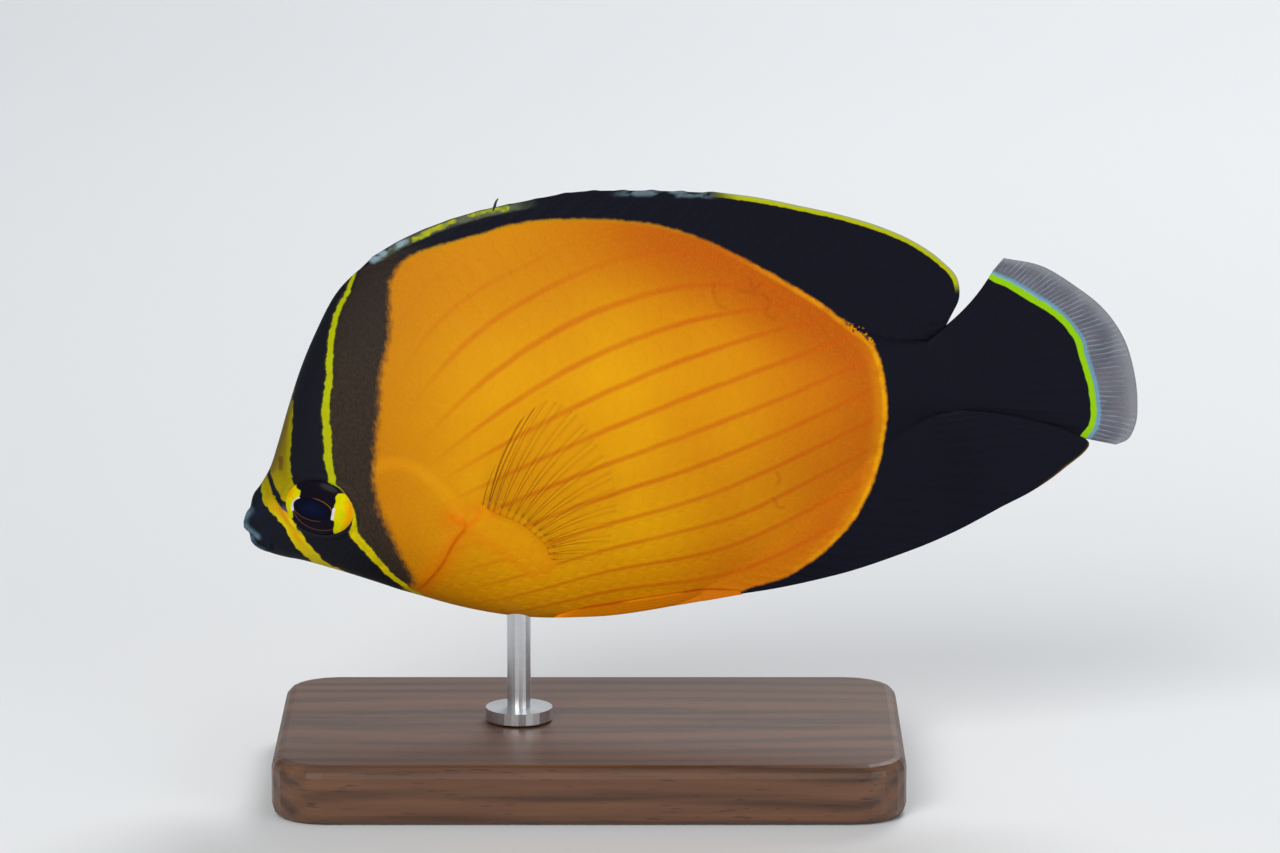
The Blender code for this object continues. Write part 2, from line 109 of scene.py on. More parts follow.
# %% Smooth curves and lines
class Curve:
    """A smooth function through a few (x, y) points, level past its ends."""

    def __init__(self, *points):
        self.x, self.y = np.array(points, float).T
        self.slope = np.gradient(self.y, self.x)
        steps = np.abs(np.diff(self.y) / np.diff(self.x))
        most = 3 * np.minimum(steps[:-1], steps[1:])
        self.slope[1:-1] = np.clip(self.slope[1:-1], -most, most)

    def __call__(self, x):
        x = np.clip(x, self.x[0], self.x[-1])
        i = np.clip(np.searchsorted(self.x, x) - 1, 0, len(self.x) - 2)
        span = self.x[i + 1] - self.x[i]
        t = (x - self.x[i]) / span
        start = (1 + 2 * t) * (1 - t) ** 2 * self.y[i] + t * (1 - t) ** 2 * span * self.slope[i]
        end = t * t * (3 - 2 * t) * self.y[i + 1] - t * t * (1 - t) * span * self.slope[i + 1]
        return start + end


def line_through(*points, steps=90):
    """A smooth line through a few (u, w) places, as short steps."""
    points = np.array(points, float)
    along = np.concatenate(([0], np.cumsum(np.hypot(*np.diff(points, axis=0).T))))
    even = np.linspace(0, along[-1], steps + 1)
    return np.stack([Curve(*zip(along, axis))(even) for axis in points.T], axis=1)


def point_on(line, share):
    """Places at shares of a line's length."""
    at = np.clip(share, 0, 1) * (len(line) - 1)
    number = np.arange(len(line))
    return np.stack([np.interp(at, number, axis) for axis in line.T], axis=-1)


def smooth_step(x):
    x = np.clip(x, 0, 1)
    return x * x * (3 - 2 * x)


def bump(x, width):
    """A soft hump of height 1 at x = 0."""
    return np.exp(-((x / width) ** 2))


# %% [markdown]
# ## The body without its fins
#
# Seen from the side, the body lies between the curves of back and belly. Seen from the front, it
# is a narrow lens, widest a little below the middle. Half its thickness at any place of the side
# view is a formula, so one function describes the whole flank, from the round forehead to the
# sharp ridge that carries the fins.

# %% Outline and thickness of the flesh
BACK = Curve(
    (-0.4, -0.2), (-0.2, 0.2), (0.2, 0.8), (0.8, 1.4), (1.3, 2.5), (2.8, 4.1), (4.6, 6.2),
    (6.4, 9.4), (8.6, 13.6), (11.5, 18.7), (14.5, 23.1), (18, 27.4), (22, 30.1), (27, 31.4),
    (33, 31.9), (40, 31.6), (48, 30.1), (58, 26.8), (68, 21.6), (78, 14.7), (85, 9.4), (90, 6.5),
    (95, 5.0),
)
BELLY = Curve(
    (-0.4, -1.0), (-0.15, -1.5), (0.08, -2.0), (0.16, -3.1), (0.3, -3.7), (0.64, -4.2), (1.4, -4.8),
    (2.6, -5.55), (3.9, -6.2), (6, -7.05), (10, -9.1), (20, -14.7), (26, -17.8), (32, -20.2),
    (38, -21.8), (44, -22.6), (50, -22.7), (56, -22.2), (62, -20.8), (70, -17.0), (78, -12.2),
    (86, -7.6), (91, -5.4), (95, -4.7),
)
WIDEST_AT = Curve((0, -1.2), (10, -1.0), (20, -1.5), (30, 0.5), (50, 2.5), (75, 1.5), (95, 0.2))
HALF_WIDTH = Curve(
    (-0.4, 0.5), (0, 1.2), (1.2, 2.0), (3, 2.8), (6, 4.3), (10, 5.9), (15, 7.3), (20, 8.2),
    (26, 8.8), (34, 8.9), (44, 8.4), (54, 7.4), (64, 6.1), (74, 4.7), (83, 3.2), (90, 2.1),
    (95, 1.5),
)
BACK_RIDGE = Curve((0, 0.3), (15, 0.3), (24, 0.7), (40, 0.8), (95, 0.8))
BELLY_RIDGE = Curve((0, 0.3), (50, 0.4), (58, 0.6), (66, 0.8), (95, 0.8))
BACK_TAPER = Curve(
    (0, 0.52), (12, 0.6), (22, 0.82), (34, 1.05), (50, 1.2), (70, 1.4), (85, 1.1), (95, 0.6),
)
BELLY_TAPER = Curve(
    (0, 0.52), (12, 0.6), (40, 0.7), (52, 0.95), (62, 1.4), (76, 1.5), (86, 1.1), (95, 0.6),
)
RIDGE_CORNER = 16


def flesh(u, w):
    """Half the body's thickness, closing to nothing on the outline."""
    widest = WIDEST_AT(u)
    above = w > widest
    reach = np.where(above, BACK(u) - widest, widest - BELLY(u))
    ridge = np.where(above, BACK_RIDGE(u), BELLY_RIDGE(u))
    taper = np.where(above, BACK_TAPER(u), BELLY_TAPER(u))
    share = np.clip(np.abs(w - widest) / reach, 0, 1)
    corner = np.sqrt(1 - share**RIDGE_CORNER)
    return ridge * corner + (HALF_WIDTH(u) - ridge) * (1 - share**2) ** taper


print("thickest part is", round(2 * float(HALF_WIDTH(34)), 1), "mm through")

# %% [markdown]
# ## Median fins
#
# A butterflyfish wears its back and anal fins like a keel: their bases are as thick as the
# body's ridge and covered in scales, so no seam shows where body ends and fin begins. Each fin
# is a fan of rays from a root on the outline to a margin. Rays are raised in the membrane's own
# surface. They fork on the way out, as the soft rays of a real fin do.

# %% Rays and rounded edges
ROUND_END = 0.012
ROUND_RIM = 0.03
RAY_HEIGHT = 0.07
RAY_WIDTH = 0.16
RAY_NARROWS = 0.09
FORK_AT = 0.3
FORK_APART = 0.22
TWIG_AT = 0.72
TWIG_APART = 0.09


def off_ray(ray):
    """How far a place is from the nearest ray: 0.5 halfway between two."""
    return np.abs(ray - np.round(ray))


def ray_ridge(ray, t, height=RAY_HEIGHT):
    """Ridges that rise out of the scaly base, fork, and fork again near the margin."""
    fork = FORK_APART * smooth_step((t - FORK_AT) / (1 - FORK_AT))
    twig = TWIG_APART * smooth_step((t - TWIG_AT) / (1 - TWIG_AT))
    near = np.abs(np.abs(off_ray(ray) - fork) - twig)
    width = RAY_WIDTH - RAY_NARROWS * t
    return height * bump(near, width) * smooth_step((t - 0.1) / 0.4) * (1 - 0.45 * t)


def rounded(from_edge, width):
    """A quarter of a circle: 0 on an edge, and 1 from a width inwards."""
    near = np.clip(from_edge / width, 0, 1)
    return np.sqrt(1 - (1 - near) ** 2)


def from_ends(share):
    return np.minimum(share, 1 - share)


def bowed(start, end, t, bow):
    """Places along lines from start to end, which bow sideways by a share of their length."""
    knee = (start + end) / 2 + bow * (end - start)[..., ::-1] * (1, -1)
    return (1 - t) ** 2 * start + 2 * t * (1 - t) * knee + t * t * end


print("rays stand", RAY_HEIGHT, "mm off the membrane")


# %% A fan of rays
@dataclass
class Fin:
    """Rays from the body's outline to a margin, each found by the u of its root."""

    outline: Curve
    first: float
    last: float
    ray_at: tuple
    tip: object
    thick: Curve
    edge: float
    sweep: float

    def at(self, u, t):
        """Places along the rays: t runs from 0 at the root to 1 at the margin."""
        root = np.stack((u, self.outline(u)), axis=-1)
        return bowed(root, self.tip(u), t[..., None], self.sweep)

    def ends(self, u):
        """Rounds the first and the last ray: 0 on them and 1 between."""
        return rounded(from_ends((u - self.first) / (self.last - self.first)), ROUND_END)

    def ray(self, u):
        """The number of the ray at u, with the membrane's middle at the halves."""
        return np.interp(u, *np.transpose(self.ray_at))

    def half(self, u, t):
        """Half the fin's thickness, with its rays raised and its margin rounded."""
        plain = self.edge + (self.thick(u) - self.edge) * (1 - t) ** 1.3
        return (plain + ray_ridge(self.ray(u), t)) * rounded(1 - t, ROUND_RIM) * self.ends(u)


# %% The back fin and the anal fin
BACK_FIN = (20.3, 92.2)
LAST_SPINE = 60.5
FIRST_SOFT_RAY = 61.2
DORSAL_SPINES = 13
DORSAL_RAYS = 20
SPINE_NOTCH = 0.02
SPINY_MARGIN = line_through(
    (24, 31.5), (28, 32.9), (33.5, 34.1), (42, 34.8), (50, 34.8), (60, 33.3), (70.1, 30.9),
)
SOFT_MARGIN = line_through(
    (70.1, 30.9), (76, 28.8), (81, 26.6), (86, 24.3), (91, 21.5), (94.8, 18.7), (97.9, 15.4),
    (99.6, 12.4), (99.4, 10.0), (97.9, 7.8), (95.0, 4.4),
)
ANAL_FIN = (57.5, 92.6)
ANAL_RAYS = 21
ANAL_MARGIN = line_through(
    (60.5, -23.4), (68, -23.8), (76, -23.7), (84, -22.9), (92, -21.5), (99.2, -19.2), (104, -17.9),
    (108.5, -16.0), (112.7, -13.1), (110.6, -11.2), (105, -8.0), (100, -5.9), (95.2, -4.6),
)


def back_fin_tip(u):
    """The margin over each root: spines first, with the membrane notched between, then rays."""
    joint = (LAST_SPINE + FIRST_SOFT_RAY) / 2
    spiny = point_on(SPINY_MARGIN, (u - BACK_FIN[0]) / (joint - BACK_FIN[0]))
    soft = point_on(SOFT_MARGIN, (u - joint) / (BACK_FIN[1] - joint))
    tip = np.where((u < joint)[..., None], spiny, soft)
    notch = np.where(u < LAST_SPINE, SPINE_NOTCH * smooth_step(3.2 * off_ray(back_fin.ray(u))), 0)
    root = np.stack((u, BACK(u)), axis=-1)
    return tip + (root - tip) * notch[..., None]


def anal_fin_tip(u):
    return point_on(ANAL_MARGIN, (u - ANAL_FIN[0]) / (ANAL_FIN[1] - ANAL_FIN[0]))


back_fin = Fin(
    BACK, *BACK_FIN,
    ray_at=(
        (BACK_FIN[0], 0), (LAST_SPINE, DORSAL_SPINES - 1), (FIRST_SOFT_RAY, DORSAL_SPINES),
        (BACK_FIN[1], DORSAL_SPINES + DORSAL_RAYS - 1),
    ),
    tip=back_fin_tip, edge=0.13, sweep=0.03,
    thick=Curve((20, 0.4), (30, 0.6), (60, 0.7), (70, 0.85), (85, 0.8), (93, 0.6)),
)
anal_fin = Fin(
    BELLY, *ANAL_FIN,
    ray_at=((ANAL_FIN[0], 0), (ANAL_FIN[1], ANAL_RAYS - 1)),
    tip=anal_fin_tip, edge=0.13, sweep=-0.03,
    thick=Curve((57, 0.16), (62, 0.45), (68, 0.8), (85, 0.8), (93, 0.6)),
)
print("back fin stands", round(float(SOFT_MARGIN[30, 1] - BACK(SOFT_MARGIN[30, 0])), 1), "mm high")

# %% [markdown]
# ## Where fin and flesh meet
#
# Two smooth shapes join without a crease when their thicknesses are added as powers: the cube
# root of the sum of cubes follows whichever is thicker and rounds the corner between. The tail
# fin joins the stalk in the same way.

# %% Thickness of the whole skin
STALK_END = 94.0
TAIL_STARTS = 88
TAIL_RAYS = 17
TAIL_HALF = 0.75
TAIL_HOLLOW = 0.8
HOLLOW_SHARE = 0.3
HOLLOW_WAY = (0.57, -0.82)
TAIL_EDGE = line_through(
    (104.4, 12.4), (106.9, 10.5), (109.3, 8.2), (111.6, 5.9), (112.9, 4.1), (113.9, 2.2),
    (114.6, 0.3), (114.7, -1.7), (114.9, -3.6), (115.1, -5.9), (115.0, -8.0), (114.8, -9.8),
    (114.1, -11.7), (112.7, -13.0),
)


def blended(*halves):
    return sum(half**3 for half in halves) ** (1 / 3)


def tail_half(share, t):
    """Half the tail fin's thickness over its dark part: share runs from its upper edge down."""
    plain = (TAIL_HALF - 0.5 * t) * rounded(1 - t, ROUND_RIM)
    ridge = ray_ridge(share * (TAIL_RAYS - 1), 0.7 * t) * np.clip((1 - t) / ROUND_RIM, 0, 1)
    return (plain + ridge) * rounded(from_ends(share), ROUND_END)


def skin_half(u, w):
    """Half the thickness of flesh and fin roots together."""
    widest = WIDEST_AT(u)
    above = w > widest
    root = np.where(
        above,
        back_fin.thick(u) * back_fin.ends(np.clip(u, *BACK_FIN)),
        anal_fin.thick(u) * anal_fin.ends(np.clip(u, *ANAL_FIN)),
    )
    upper = 0.5 - 0.5 * (w - widest) / (BACK(u) - widest)
    lower = 0.5 + 0.5 * (widest - w) / (widest - BELLY(u))
    share = np.clip(np.where(above, upper, lower), 0, 1)
    tail = tail_half(share, 0.0) * smooth_step((u - TAIL_STARTS) / (STALK_END - TAIL_STARTS))
    return blended(flesh(u, w), root, tail)


def outward(u, w):
    """The skin's normal on the fish's right, by small differences."""
    step = 0.04
    slope_u = (skin_half(u + step, w) - skin_half(u - step, w)) / (2 * step)
    slope_w = (skin_half(u, w + step) - skin_half(u, w - step)) / (2 * step)
    normal = np.stack((-slope_u, np.ones_like(slope_u), -slope_w), axis=-1)
    return normal / np.linalg.norm(normal, axis=-1, keepdims=True)


stalk_half = float(skin_half(np.array(STALK_END), np.array(0.2)))
print("stalk ends", round(2 * stalk_half, 1), "mm through")

# %% [markdown]
# ## Distances to drawn lines
#
# Lips, folds and colour bands all follow lines on the flank. Measuring each place's distance to
# such a line turns it into a groove, a fold or the edge of a colour, with no image at all.


# %% Distance to a line, and inside or outside
FAR = 5.0
AT_ONCE = 20000


def distance(line, places, most=FAR):
    """How far places are from a line, up to a most."""
    found = np.full(len(places), most)
    near = ((places > line.min(0) - most) & (places < line.max(0) + most)).all(1)
    near = np.flatnonzero(near)
    start = line[:-1]
    step = line[1:] - start
    for chunk in np.array_split(near, len(near) // AT_ONCE + 1):
        away = places[chunk][:, None] - start
        share = np.clip((away * step).sum(-1) / ((step**2).sum(-1) + 1e-12), 0, 1)
        gap = np.linalg.norm(away - share[..., None] * step, axis=-1)
        found[chunk] = np.minimum(gap.min(1), most)
    return found


def inside(outline, places):
    """True where a place is inside a closed outline."""
    x, y = places.T
    crossings = np.zeros(len(places), int)
    for (x0, y0), (x1, y1) in zip(outline, np.roll(outline, -1, axis=0)):
        between = (y0 > y) != (y1 > y)
        crossings += between & (x < (x1 - x0) * (y - y0) / (y1 - y0 + 1e-9) + x0)
    return crossings % 2 == 1


def depth_in(outline, places, most=FAR):
    """Distance to a closed outline, above zero inside it."""
    closed = np.concatenate((outline, outline[:1]))
    return np.where(inside(outline, places), 1, -1) * distance(closed, places, most)


# %% [markdown]
# ## The face
#
# A butterflyfish picks food with a short snout of thick, movable lips. Its eye has no lids: a
# fleshy rim holds it. Two nostrils open on each side between eye and snout, and the gill cover
# ends in a soft edge that overlaps the trunk. All of these are folds of one skin, so they are
# made by lifting or sinking the same surface.

# %% Rise and fall of the face
EYE_CENTRE = (10.4, 0.6)
EYE_LONG = 4.6
EYE_HIGH = 3.7
EYE_DIP = math.radians(22)
SOCKET_DEPTH = 0.9
SOCKET_WALL = 0.12
EYE_RIM_HEIGHT = 0.26
EYE_RIM_AT = 1.09
EYE_RIM_WIDTH = 0.065
EYE_GROOVE_DEPTH = 0.10
EYE_GROOVE_AT = 1.27
EYE_GROOVE_WIDTH = 0.06
NOSTRILS = ((4.5, 2.7, 0.26), (5.3, 2.0, 0.32))
NOSTRIL_RIM = 0.13
NOSTRIL_RIM_WIDTH = 0.14
NOSTRIL_DEPTH = 0.4
MOUTH_LINE = line_through(
    (-0.8, -1.6), (0.18, -2.1), (0.8, -2.95), (1.4, -3.6), (1.9, -4.0), steps=40,
)
MOUTH_DEPTH = 0.34
MOUTH_WIDTH = 0.12
LIP_HEIGHT = 0.2
LIP_AT = 0.5
LIP_WIDTH = 0.34
LIP_FOLD = line_through((1.3, 1.5), (1.7, 0.1), (2.3, -1.4), (2.8, -3.0), (2.9, -4.6), steps=40)
LIP_FOLD_DEPTH = 0.1
LIP_FOLD_WIDTH = 0.2
GILL_EDGE = Curve(
    (-14.5, 19.5), (-13.1, 21.0), (-11.7, 22.7), (-9.4, 25.1), (-7.7, 26.4), (-6.5, 27.5),
    (-5.4, 28.8), (-4.4, 28.9), (-2.3, 27.8), (0.7, 26.5), (2.3, 25.4), (3.9, 23.8), (5.1, 21.8),
    (6.4, 19.7), (9, 18.4),
)
COVER_HEIGHT = 0.32
COVER_SWELLING = 3.0
COVER_STEP = 0.45
COVER_TOP = 5.0
COVER_FOOT = -14.5
CHEEK_FOLD = line_through(
    (16.2, 3.4), (18.2, 0.0), (19.0, -4.0), (18.0, -8.0), (14.6, -10.2), steps=40,
)
CHEEK_FOLD_DEPTH = 0.09
CHEEK_FOLD_WIDTH = 0.35


def eye_ring(u, w):
    """0 at the eye's centre and 1 on its edge: an oval whose long axis dips to the rear."""
    u = u - EYE_CENTRE[0]
    w = w - EYE_CENTRE[1]
    along = u * math.cos(EYE_DIP) - w * math.sin(EYE_DIP)
    across = u * math.sin(EYE_DIP) + w * math.cos(EYE_DIP)
    return np.hypot(along / EYE_LONG, across / EYE_HIGH)


def face_relief(u, w):
    """How far the skin of the head stands off the plain body."""
    shape = u.shape
    u = u.ravel()
    w = w.ravel()
    places = np.stack((u, w), axis=1)
    ring = eye_ring(u, w)
    rise = -SOCKET_DEPTH * smooth_step((1.0 - ring) / SOCKET_WALL)
    rim = EYE_RIM_HEIGHT * bump(ring - EYE_RIM_AT, EYE_RIM_WIDTH)
    rise += rim - EYE_GROOVE_DEPTH * bump(ring - EYE_GROOVE_AT, EYE_GROOVE_WIDTH)
    mouth = distance(MOUTH_LINE, places)
    rise += LIP_HEIGHT * bump(mouth - LIP_AT, LIP_WIDTH) - MOUTH_DEPTH * bump(mouth, MOUTH_WIDTH)
    rise -= LIP_FOLD_DEPTH * bump(distance(LIP_FOLD, places), LIP_FOLD_WIDTH)
    for hole_u, hole_w, radius in NOSTRILS:
        from_hole = np.hypot(u - hole_u, w - hole_w)
        rise += NOSTRIL_RIM * bump(from_hole - 1.45 * radius, NOSTRIL_RIM_WIDTH)
        rise -= NOSTRIL_DEPTH * smooth_step((1.05 * radius - from_hole) / (0.7 * radius))
    behind = GILL_EDGE(w) - u
    step = smooth_step(1 + behind / COVER_STEP)
    cover = np.where(behind > 0, bump(behind, COVER_SWELLING), step)
    low = smooth_step((COVER_TOP - w) / 4.0) * smooth_step((w - COVER_FOOT) / 3.0)
    rise += COVER_HEIGHT * cover * low
    rise -= CHEEK_FOLD_DEPTH * bump(distance(CHEEK_FOLD, places), CHEEK_FOLD_WIDTH)
    return rise.reshape(shape)


print("eye is", 2 * EYE_LONG, "by", 2 * EYE_HIGH, "mm")

# %% [markdown]
# ## Lines of scales
#
# Faint darker lines rise along the flank, one to every second row of scales. Twelve of them can
# be counted. Their heights at six places along the body are enough: everything between is
# smooth. A small map then tells, for any place, which line it lies on, and the scales use the
# same map, so lines and scale rows agree.

# %% Which line runs where
LINE_HEIGHTS = {
    22: Curve(
        (-3, 30), (0, 13.8), (2, 4.2), (3, 1.5), (4, -0.5), (6, -5.4), (8, -11.6), (11, -19.2),
        (14, -26),
    ),
    30: Curve(
        (-3, 36), (0, 21.2), (1, 15.9), (2, 10.2), (3, 5.9), (4, 2.6), (6, -4.2), (8, -11.2),
        (11, -19.4), (14, -27),
    ),
    46: Curve(
        (-3, 41), (0, 27.2), (1, 23.3), (2, 17.7), (4, 7.5), (6, -1.3), (8, -9.2), (11, -18.9),
        (14, -28),
    ),
    62: Curve(
        (-3, 40), (0, 28.8), (1, 24.6), (2, 19.7), (4, 10.5), (6, 0.9), (8, -8.2), (11, -20.3),
        (14, -31),
    ),
    78: Curve(
        (-3, 30), (0, 21.4), (2, 16.5), (4, 11.5), (6, 3.3), (8, -5.0), (11, -16.8), (14, -28),
    ),
    88: Curve(
        (-3, 25), (0, 19.2), (2, 15.6), (4, 11.6), (6, 5.2), (8, -2.6), (11, -14.0), (14, -25),
    ),
}
line_numbers = np.linspace(-3, 14, 171)
map_u = np.linspace(0, 104, 209)
map_w = np.linspace(-30, 40, 281)
height_at = np.stack([curve(line_numbers) for curve in LINE_HEIGHTS.values()])
line_height = np.stack(
    [Curve(*zip(LINE_HEIGHTS, heights))(map_u) for heights in height_at.T], axis=1
)
line_map = np.stack([np.interp(map_w, row[::-1], line_numbers[::-1]) for row in line_height])


def read_map(table, x, y, xs, ys):
    """A table read between its points."""
    i = np.clip((x - xs[0]) / (xs[1] - xs[0]), 0, len(xs) - 1.001)
    j = np.clip((y - ys[0]) / (ys[1] - ys[0]), 0, len(ys) - 1.001)
    a = i.astype(int)
    b = j.astype(int)
    i = i - a
    j = j - b
    low = table[a, b] * (1 - j) + table[a, b + 1] * j
    high = table[a + 1, b] * (1 - j) + table[a + 1, b + 1] * j
    return low * (1 - i) + high * i


def line_number(u, w):
    return read_map(line_map, u, w, map_u, map_w)


def height_of_line(u, number):
    return read_map(line_height, u, number, map_u, line_numbers)


print("line 4 crosses the middle of the flank at", round(float(height_of_line(54.0, 4.0)), 1))

# %% [markdown]
# ## Markings
#
# The pattern is one orange field framed in black, a yellow line behind the black eye band, a
# brown nape, a yellow face with a black snout, and a yellow-green line round the tail. Each mark
# is stored on the mesh as a distance in millimetres, and the material turns distances into
# colours. Skin and scales read the same marks, so they can't disagree.

# %% Lines of the pattern
ORANGE_FIELD = line_through(
    (25.6, 28.1), (27.9, 30.3), (32.9, 31.3), (38.4, 31.7), (42.6, 32.1), (46.7, 31.9),
    (51.9, 31.0), (57.1, 29.8), (62.2, 28.0), (67.1, 25.3), (71.9, 21.7), (76.5, 17.7),
    (81.1, 13.3), (84.4, 9.4), (86.7, 6.7), (87.4, 3.7), (87.3, -0.4), (85.8, -6.6),
    (83.1, -12.4), (78.9, -17.4), (75.0, -20.1), (69.8, -22.3), (62.7, -23.3), (57, -26),
    (40, -27), (26, -22), (20.8, -15.6), (19.1, -12.7), (20.6, -12.2), (20.5, -10.4),
    (20.0, -8.7), (19.2, -4.5), (18.4, -0.1), (18.4, 2.0), (19.5, 7.3), (21.1, 12.5),
    (22.3, 17.0), (24.2, 21.0), (25.0, 24.5), (25.5, 27.2), steps=280,
)
NAPE_LINE = line_through(
    (21.6, 30.6), (20.5, 28.7), (17.5, 24.6), (16.1, 20.9), (15.2, 17.1), (14.1, 14.0), (13.4, 9.4),
    (12.9, 5.5), (12.9, 3.6), (13.7, 2.3), (14.5, 1.0), (14.9, -0.6), (14.6, -2.1), (14.3, -3.4),
    (14.9, -5.0), (15.9, -6.9), (17.7, -10.5), (19.5, -13.0), (20.9, -14.9), steps=160,
)
NAPE_LINE_HALF = Curve(
    (-15, 0.28), (-12, 0.38), (-6, 0.5), (-3.4, 0.55), (-2.2, 0.34), (1.5, 0.24), (3.4, 0.5),
    (6, 0.5), (14, 0.48), (19, 0.42), (25, 0.34), (29, 0.22),
)
NAPE_FRONT = Curve(
    (-15, 20.9), (-13, 19.5), (-10.5, 17.7), (-6.9, 15.9), (-5.0, 14.9), (-3.4, 14.4), (-2.1, 14.6),
    (-0.6, 14.9), (1.0, 14.5), (2.3, 13.7), (3.6, 12.9), (9.4, 13.4), (14, 14.1), (17.1, 15.2),
    (20.9, 16.1), (24.6, 17.5), (28.7, 20.5), (30.6, 21.6),
)
YELLOW_FACE = line_through(
    (10.4, 17.6), (9.6, 14.8), (9.1, 12.4), (8.5, 9.9), (7.8, 7.3), (7.6, 4.9), (8.0, 3.4),
    (7.4, 1.2), (6.6, -0.2), (6.7, -1.5), (7.3, -2.4), (7.6, -3.7), (8.2, -5.0), (8.9, -6.3),
    (9.7, -7.8), (11.1, -9.0), (12.2, -10.6), (10.6, -11.6), (9.0, -9.2), (7.8, -7.8),
    (7.0, -6.3), (6.1, -4.7), (5.5, -3.1), (4.9, -1.2), (4.0, 0.3), (3.3, 1.3), (2.9, 2.6),
    (2.9, 4.1), (1.0, 6.0), (4.0, 13.0), steps=200,
)
FACE_SLIT = line_through(
    (3.9, 6.6), (4.4, 5.0), (4.7, 3.6), (5.1, 2.5), (5.8, 1.4), (6.4, 0.8), steps=30,
)
FACE_SPOT = line_through((6.45, 7.6), (6.2, 6.4), steps=4)
BROW = line_through((4.6, 6.2), (6.4, 9.4), (8.6, 13.6), (9.8, 15.9), steps=30)
TAIL_LINE = line_through(
    (103.4, 12.4), (104.1, 11.7), (106.4, 9.9), (108.7, 7.7), (110.9, 5.6), (112.3, 3.9),
    (113.3, 2.1), (113.9, 0.3), (114.0, -1.6), (114.2, -3.5), (114.4, -5.8), (114.3, -7.9),
    (114.1, -9.6), (113.4, -11.3), (112.0, -12.6), steps=60,
)
BEFORE_TAIL_LINE = ((112, -40), (-20, -40), (-20, 40), (103.4, 40))
print("the orange field is", round(float(np.ptp(ORANGE_FIELD[:, 0])), 1), "mm long")

# %% Small lines and spots
SCUFFS = [
    line_through((67.7, 19.1), (67.5, 17.7), (67.6, 16.5), (69.1, 15.3), steps=8),
    line_through((72.5, 18.6), (72.6, 17.3), (72.9, 16.2), steps=8),
    line_through((70.7, 17.5), (72.1, 17.0), (73.8, 17.6), steps=8),
    line_through((73.8, 16.3), (74.5, 15.0), (73.7, 13.8), (74.6, 12.8), steps=12),
    line_through((70.9, -7.3), (71.1, -8.5), (70.6, -9.1), steps=8),
    line_through((69.8, -11.0), (70.2, -12.4), (70.9, -12.7), steps=8),
]
GILL_LINES = [
    line_through(
        (27.6, -3.5), (29.2, -5.1), (27.6, -6.6), (26.5, -7.9), (25.2, -9.5), (22.9, -11.7),
        (21.2, -13.2), steps=40,
    ),
    line_through((31.4, -3.6), (30.4, -4.7), (29.2, -5.1), steps=8),
]
# Lines along the lips where a pale bluish sheen is painted into the colour.
LIP_SHINE = [
    line_through(
        (0.7, 1.2), (0.1, 0.6), (-0.3, -0.2), (-0.2, -1.1), (0.3, -1.7), (1.0, -2.4), steps=30,
    ),
    line_through((0.1, -2.5), (0.1, -3.4), (0.6, -4.2), (1.4, -4.8), steps=20),
]
PAD_MIDDLE = line_through((31.0, -4.6), (32.8, -6.9), (34.8, -9.0), (37.4, -12.0))
COVER_RIM = line_through(
    (17.2, 2.9), (18.8, 4.6), (21.2, 5.2), (23.6, 4.4), (26.0, 2.2), (27.8, -0.6), (28.8, -3.4),
    steps=40,
)
FRONT_SLIVERS = [
    line_through((29.8, 32.7), (32.2, 33.3), (35.4, 34.0), steps=12),
    line_through((37.8, 34.3), (40.8, 34.5), (42.8, 34.4), steps=12),
]

# %% All the marks of a place
FAR_FROM_EDGE = 3.0
DEEP_IN_FIELD = 12.0


def nearest(lines, places, most=FAR):
    return np.minimum.reduce([distance(line, places, most) for line in lines])


def marks(u, w):
    """What the paint needs to know of each place: distances in millimetres, and its line."""
    places = np.stack((u, w), axis=1)
    return {
        "orange": depth_in(ORANGE_FIELD, places, DEEP_IN_FIELD),
        "line": line_number(u, w),
        "nape_line": NAPE_LINE_HALF(w) - distance(NAPE_LINE, places),
        "behind_nape": u - NAPE_FRONT(w),
        "face": depth_in(YELLOW_FACE, places),
        "slit": nearest([FACE_SLIT, FACE_SPOT], places),
        "tail_line": -depth_in(np.concatenate((TAIL_LINE, BEFORE_TAIL_LINE)), places),
        "gill_line": nearest(GILL_LINES, places),
        "cover_rim": distance(COVER_RIM, places),
        "pad_middle": distance(PAD_MIDDLE, places),
        "brow": distance(BROW, places),
        "sliver": nearest(FRONT_SLIVERS, places),
        "scuff": nearest(SCUFFS, places),
        # Distance to the lines of painted sheen on the lips.
        "lip": nearest(LIP_SHINE, places),
        "above": (w > WIDEST_AT(u)) * 1.0,
        "fin_edge": nearest([SPINY_MARGIN, SOFT_MARGIN, ANAL_MARGIN], places, FAR_FROM_EDGE),
    }


print("the pattern uses", len(marks(np.zeros(1), np.zeros(1))), "marks")

# %% [markdown]
# ## Sewing sheets into one skin
#
# Body, fins and tail are each a grid of points, easy to space finely where the form needs it.
# Points that two grids share are welded, left and right flank along the outline too, so the
# result is one closed surface without a seam.


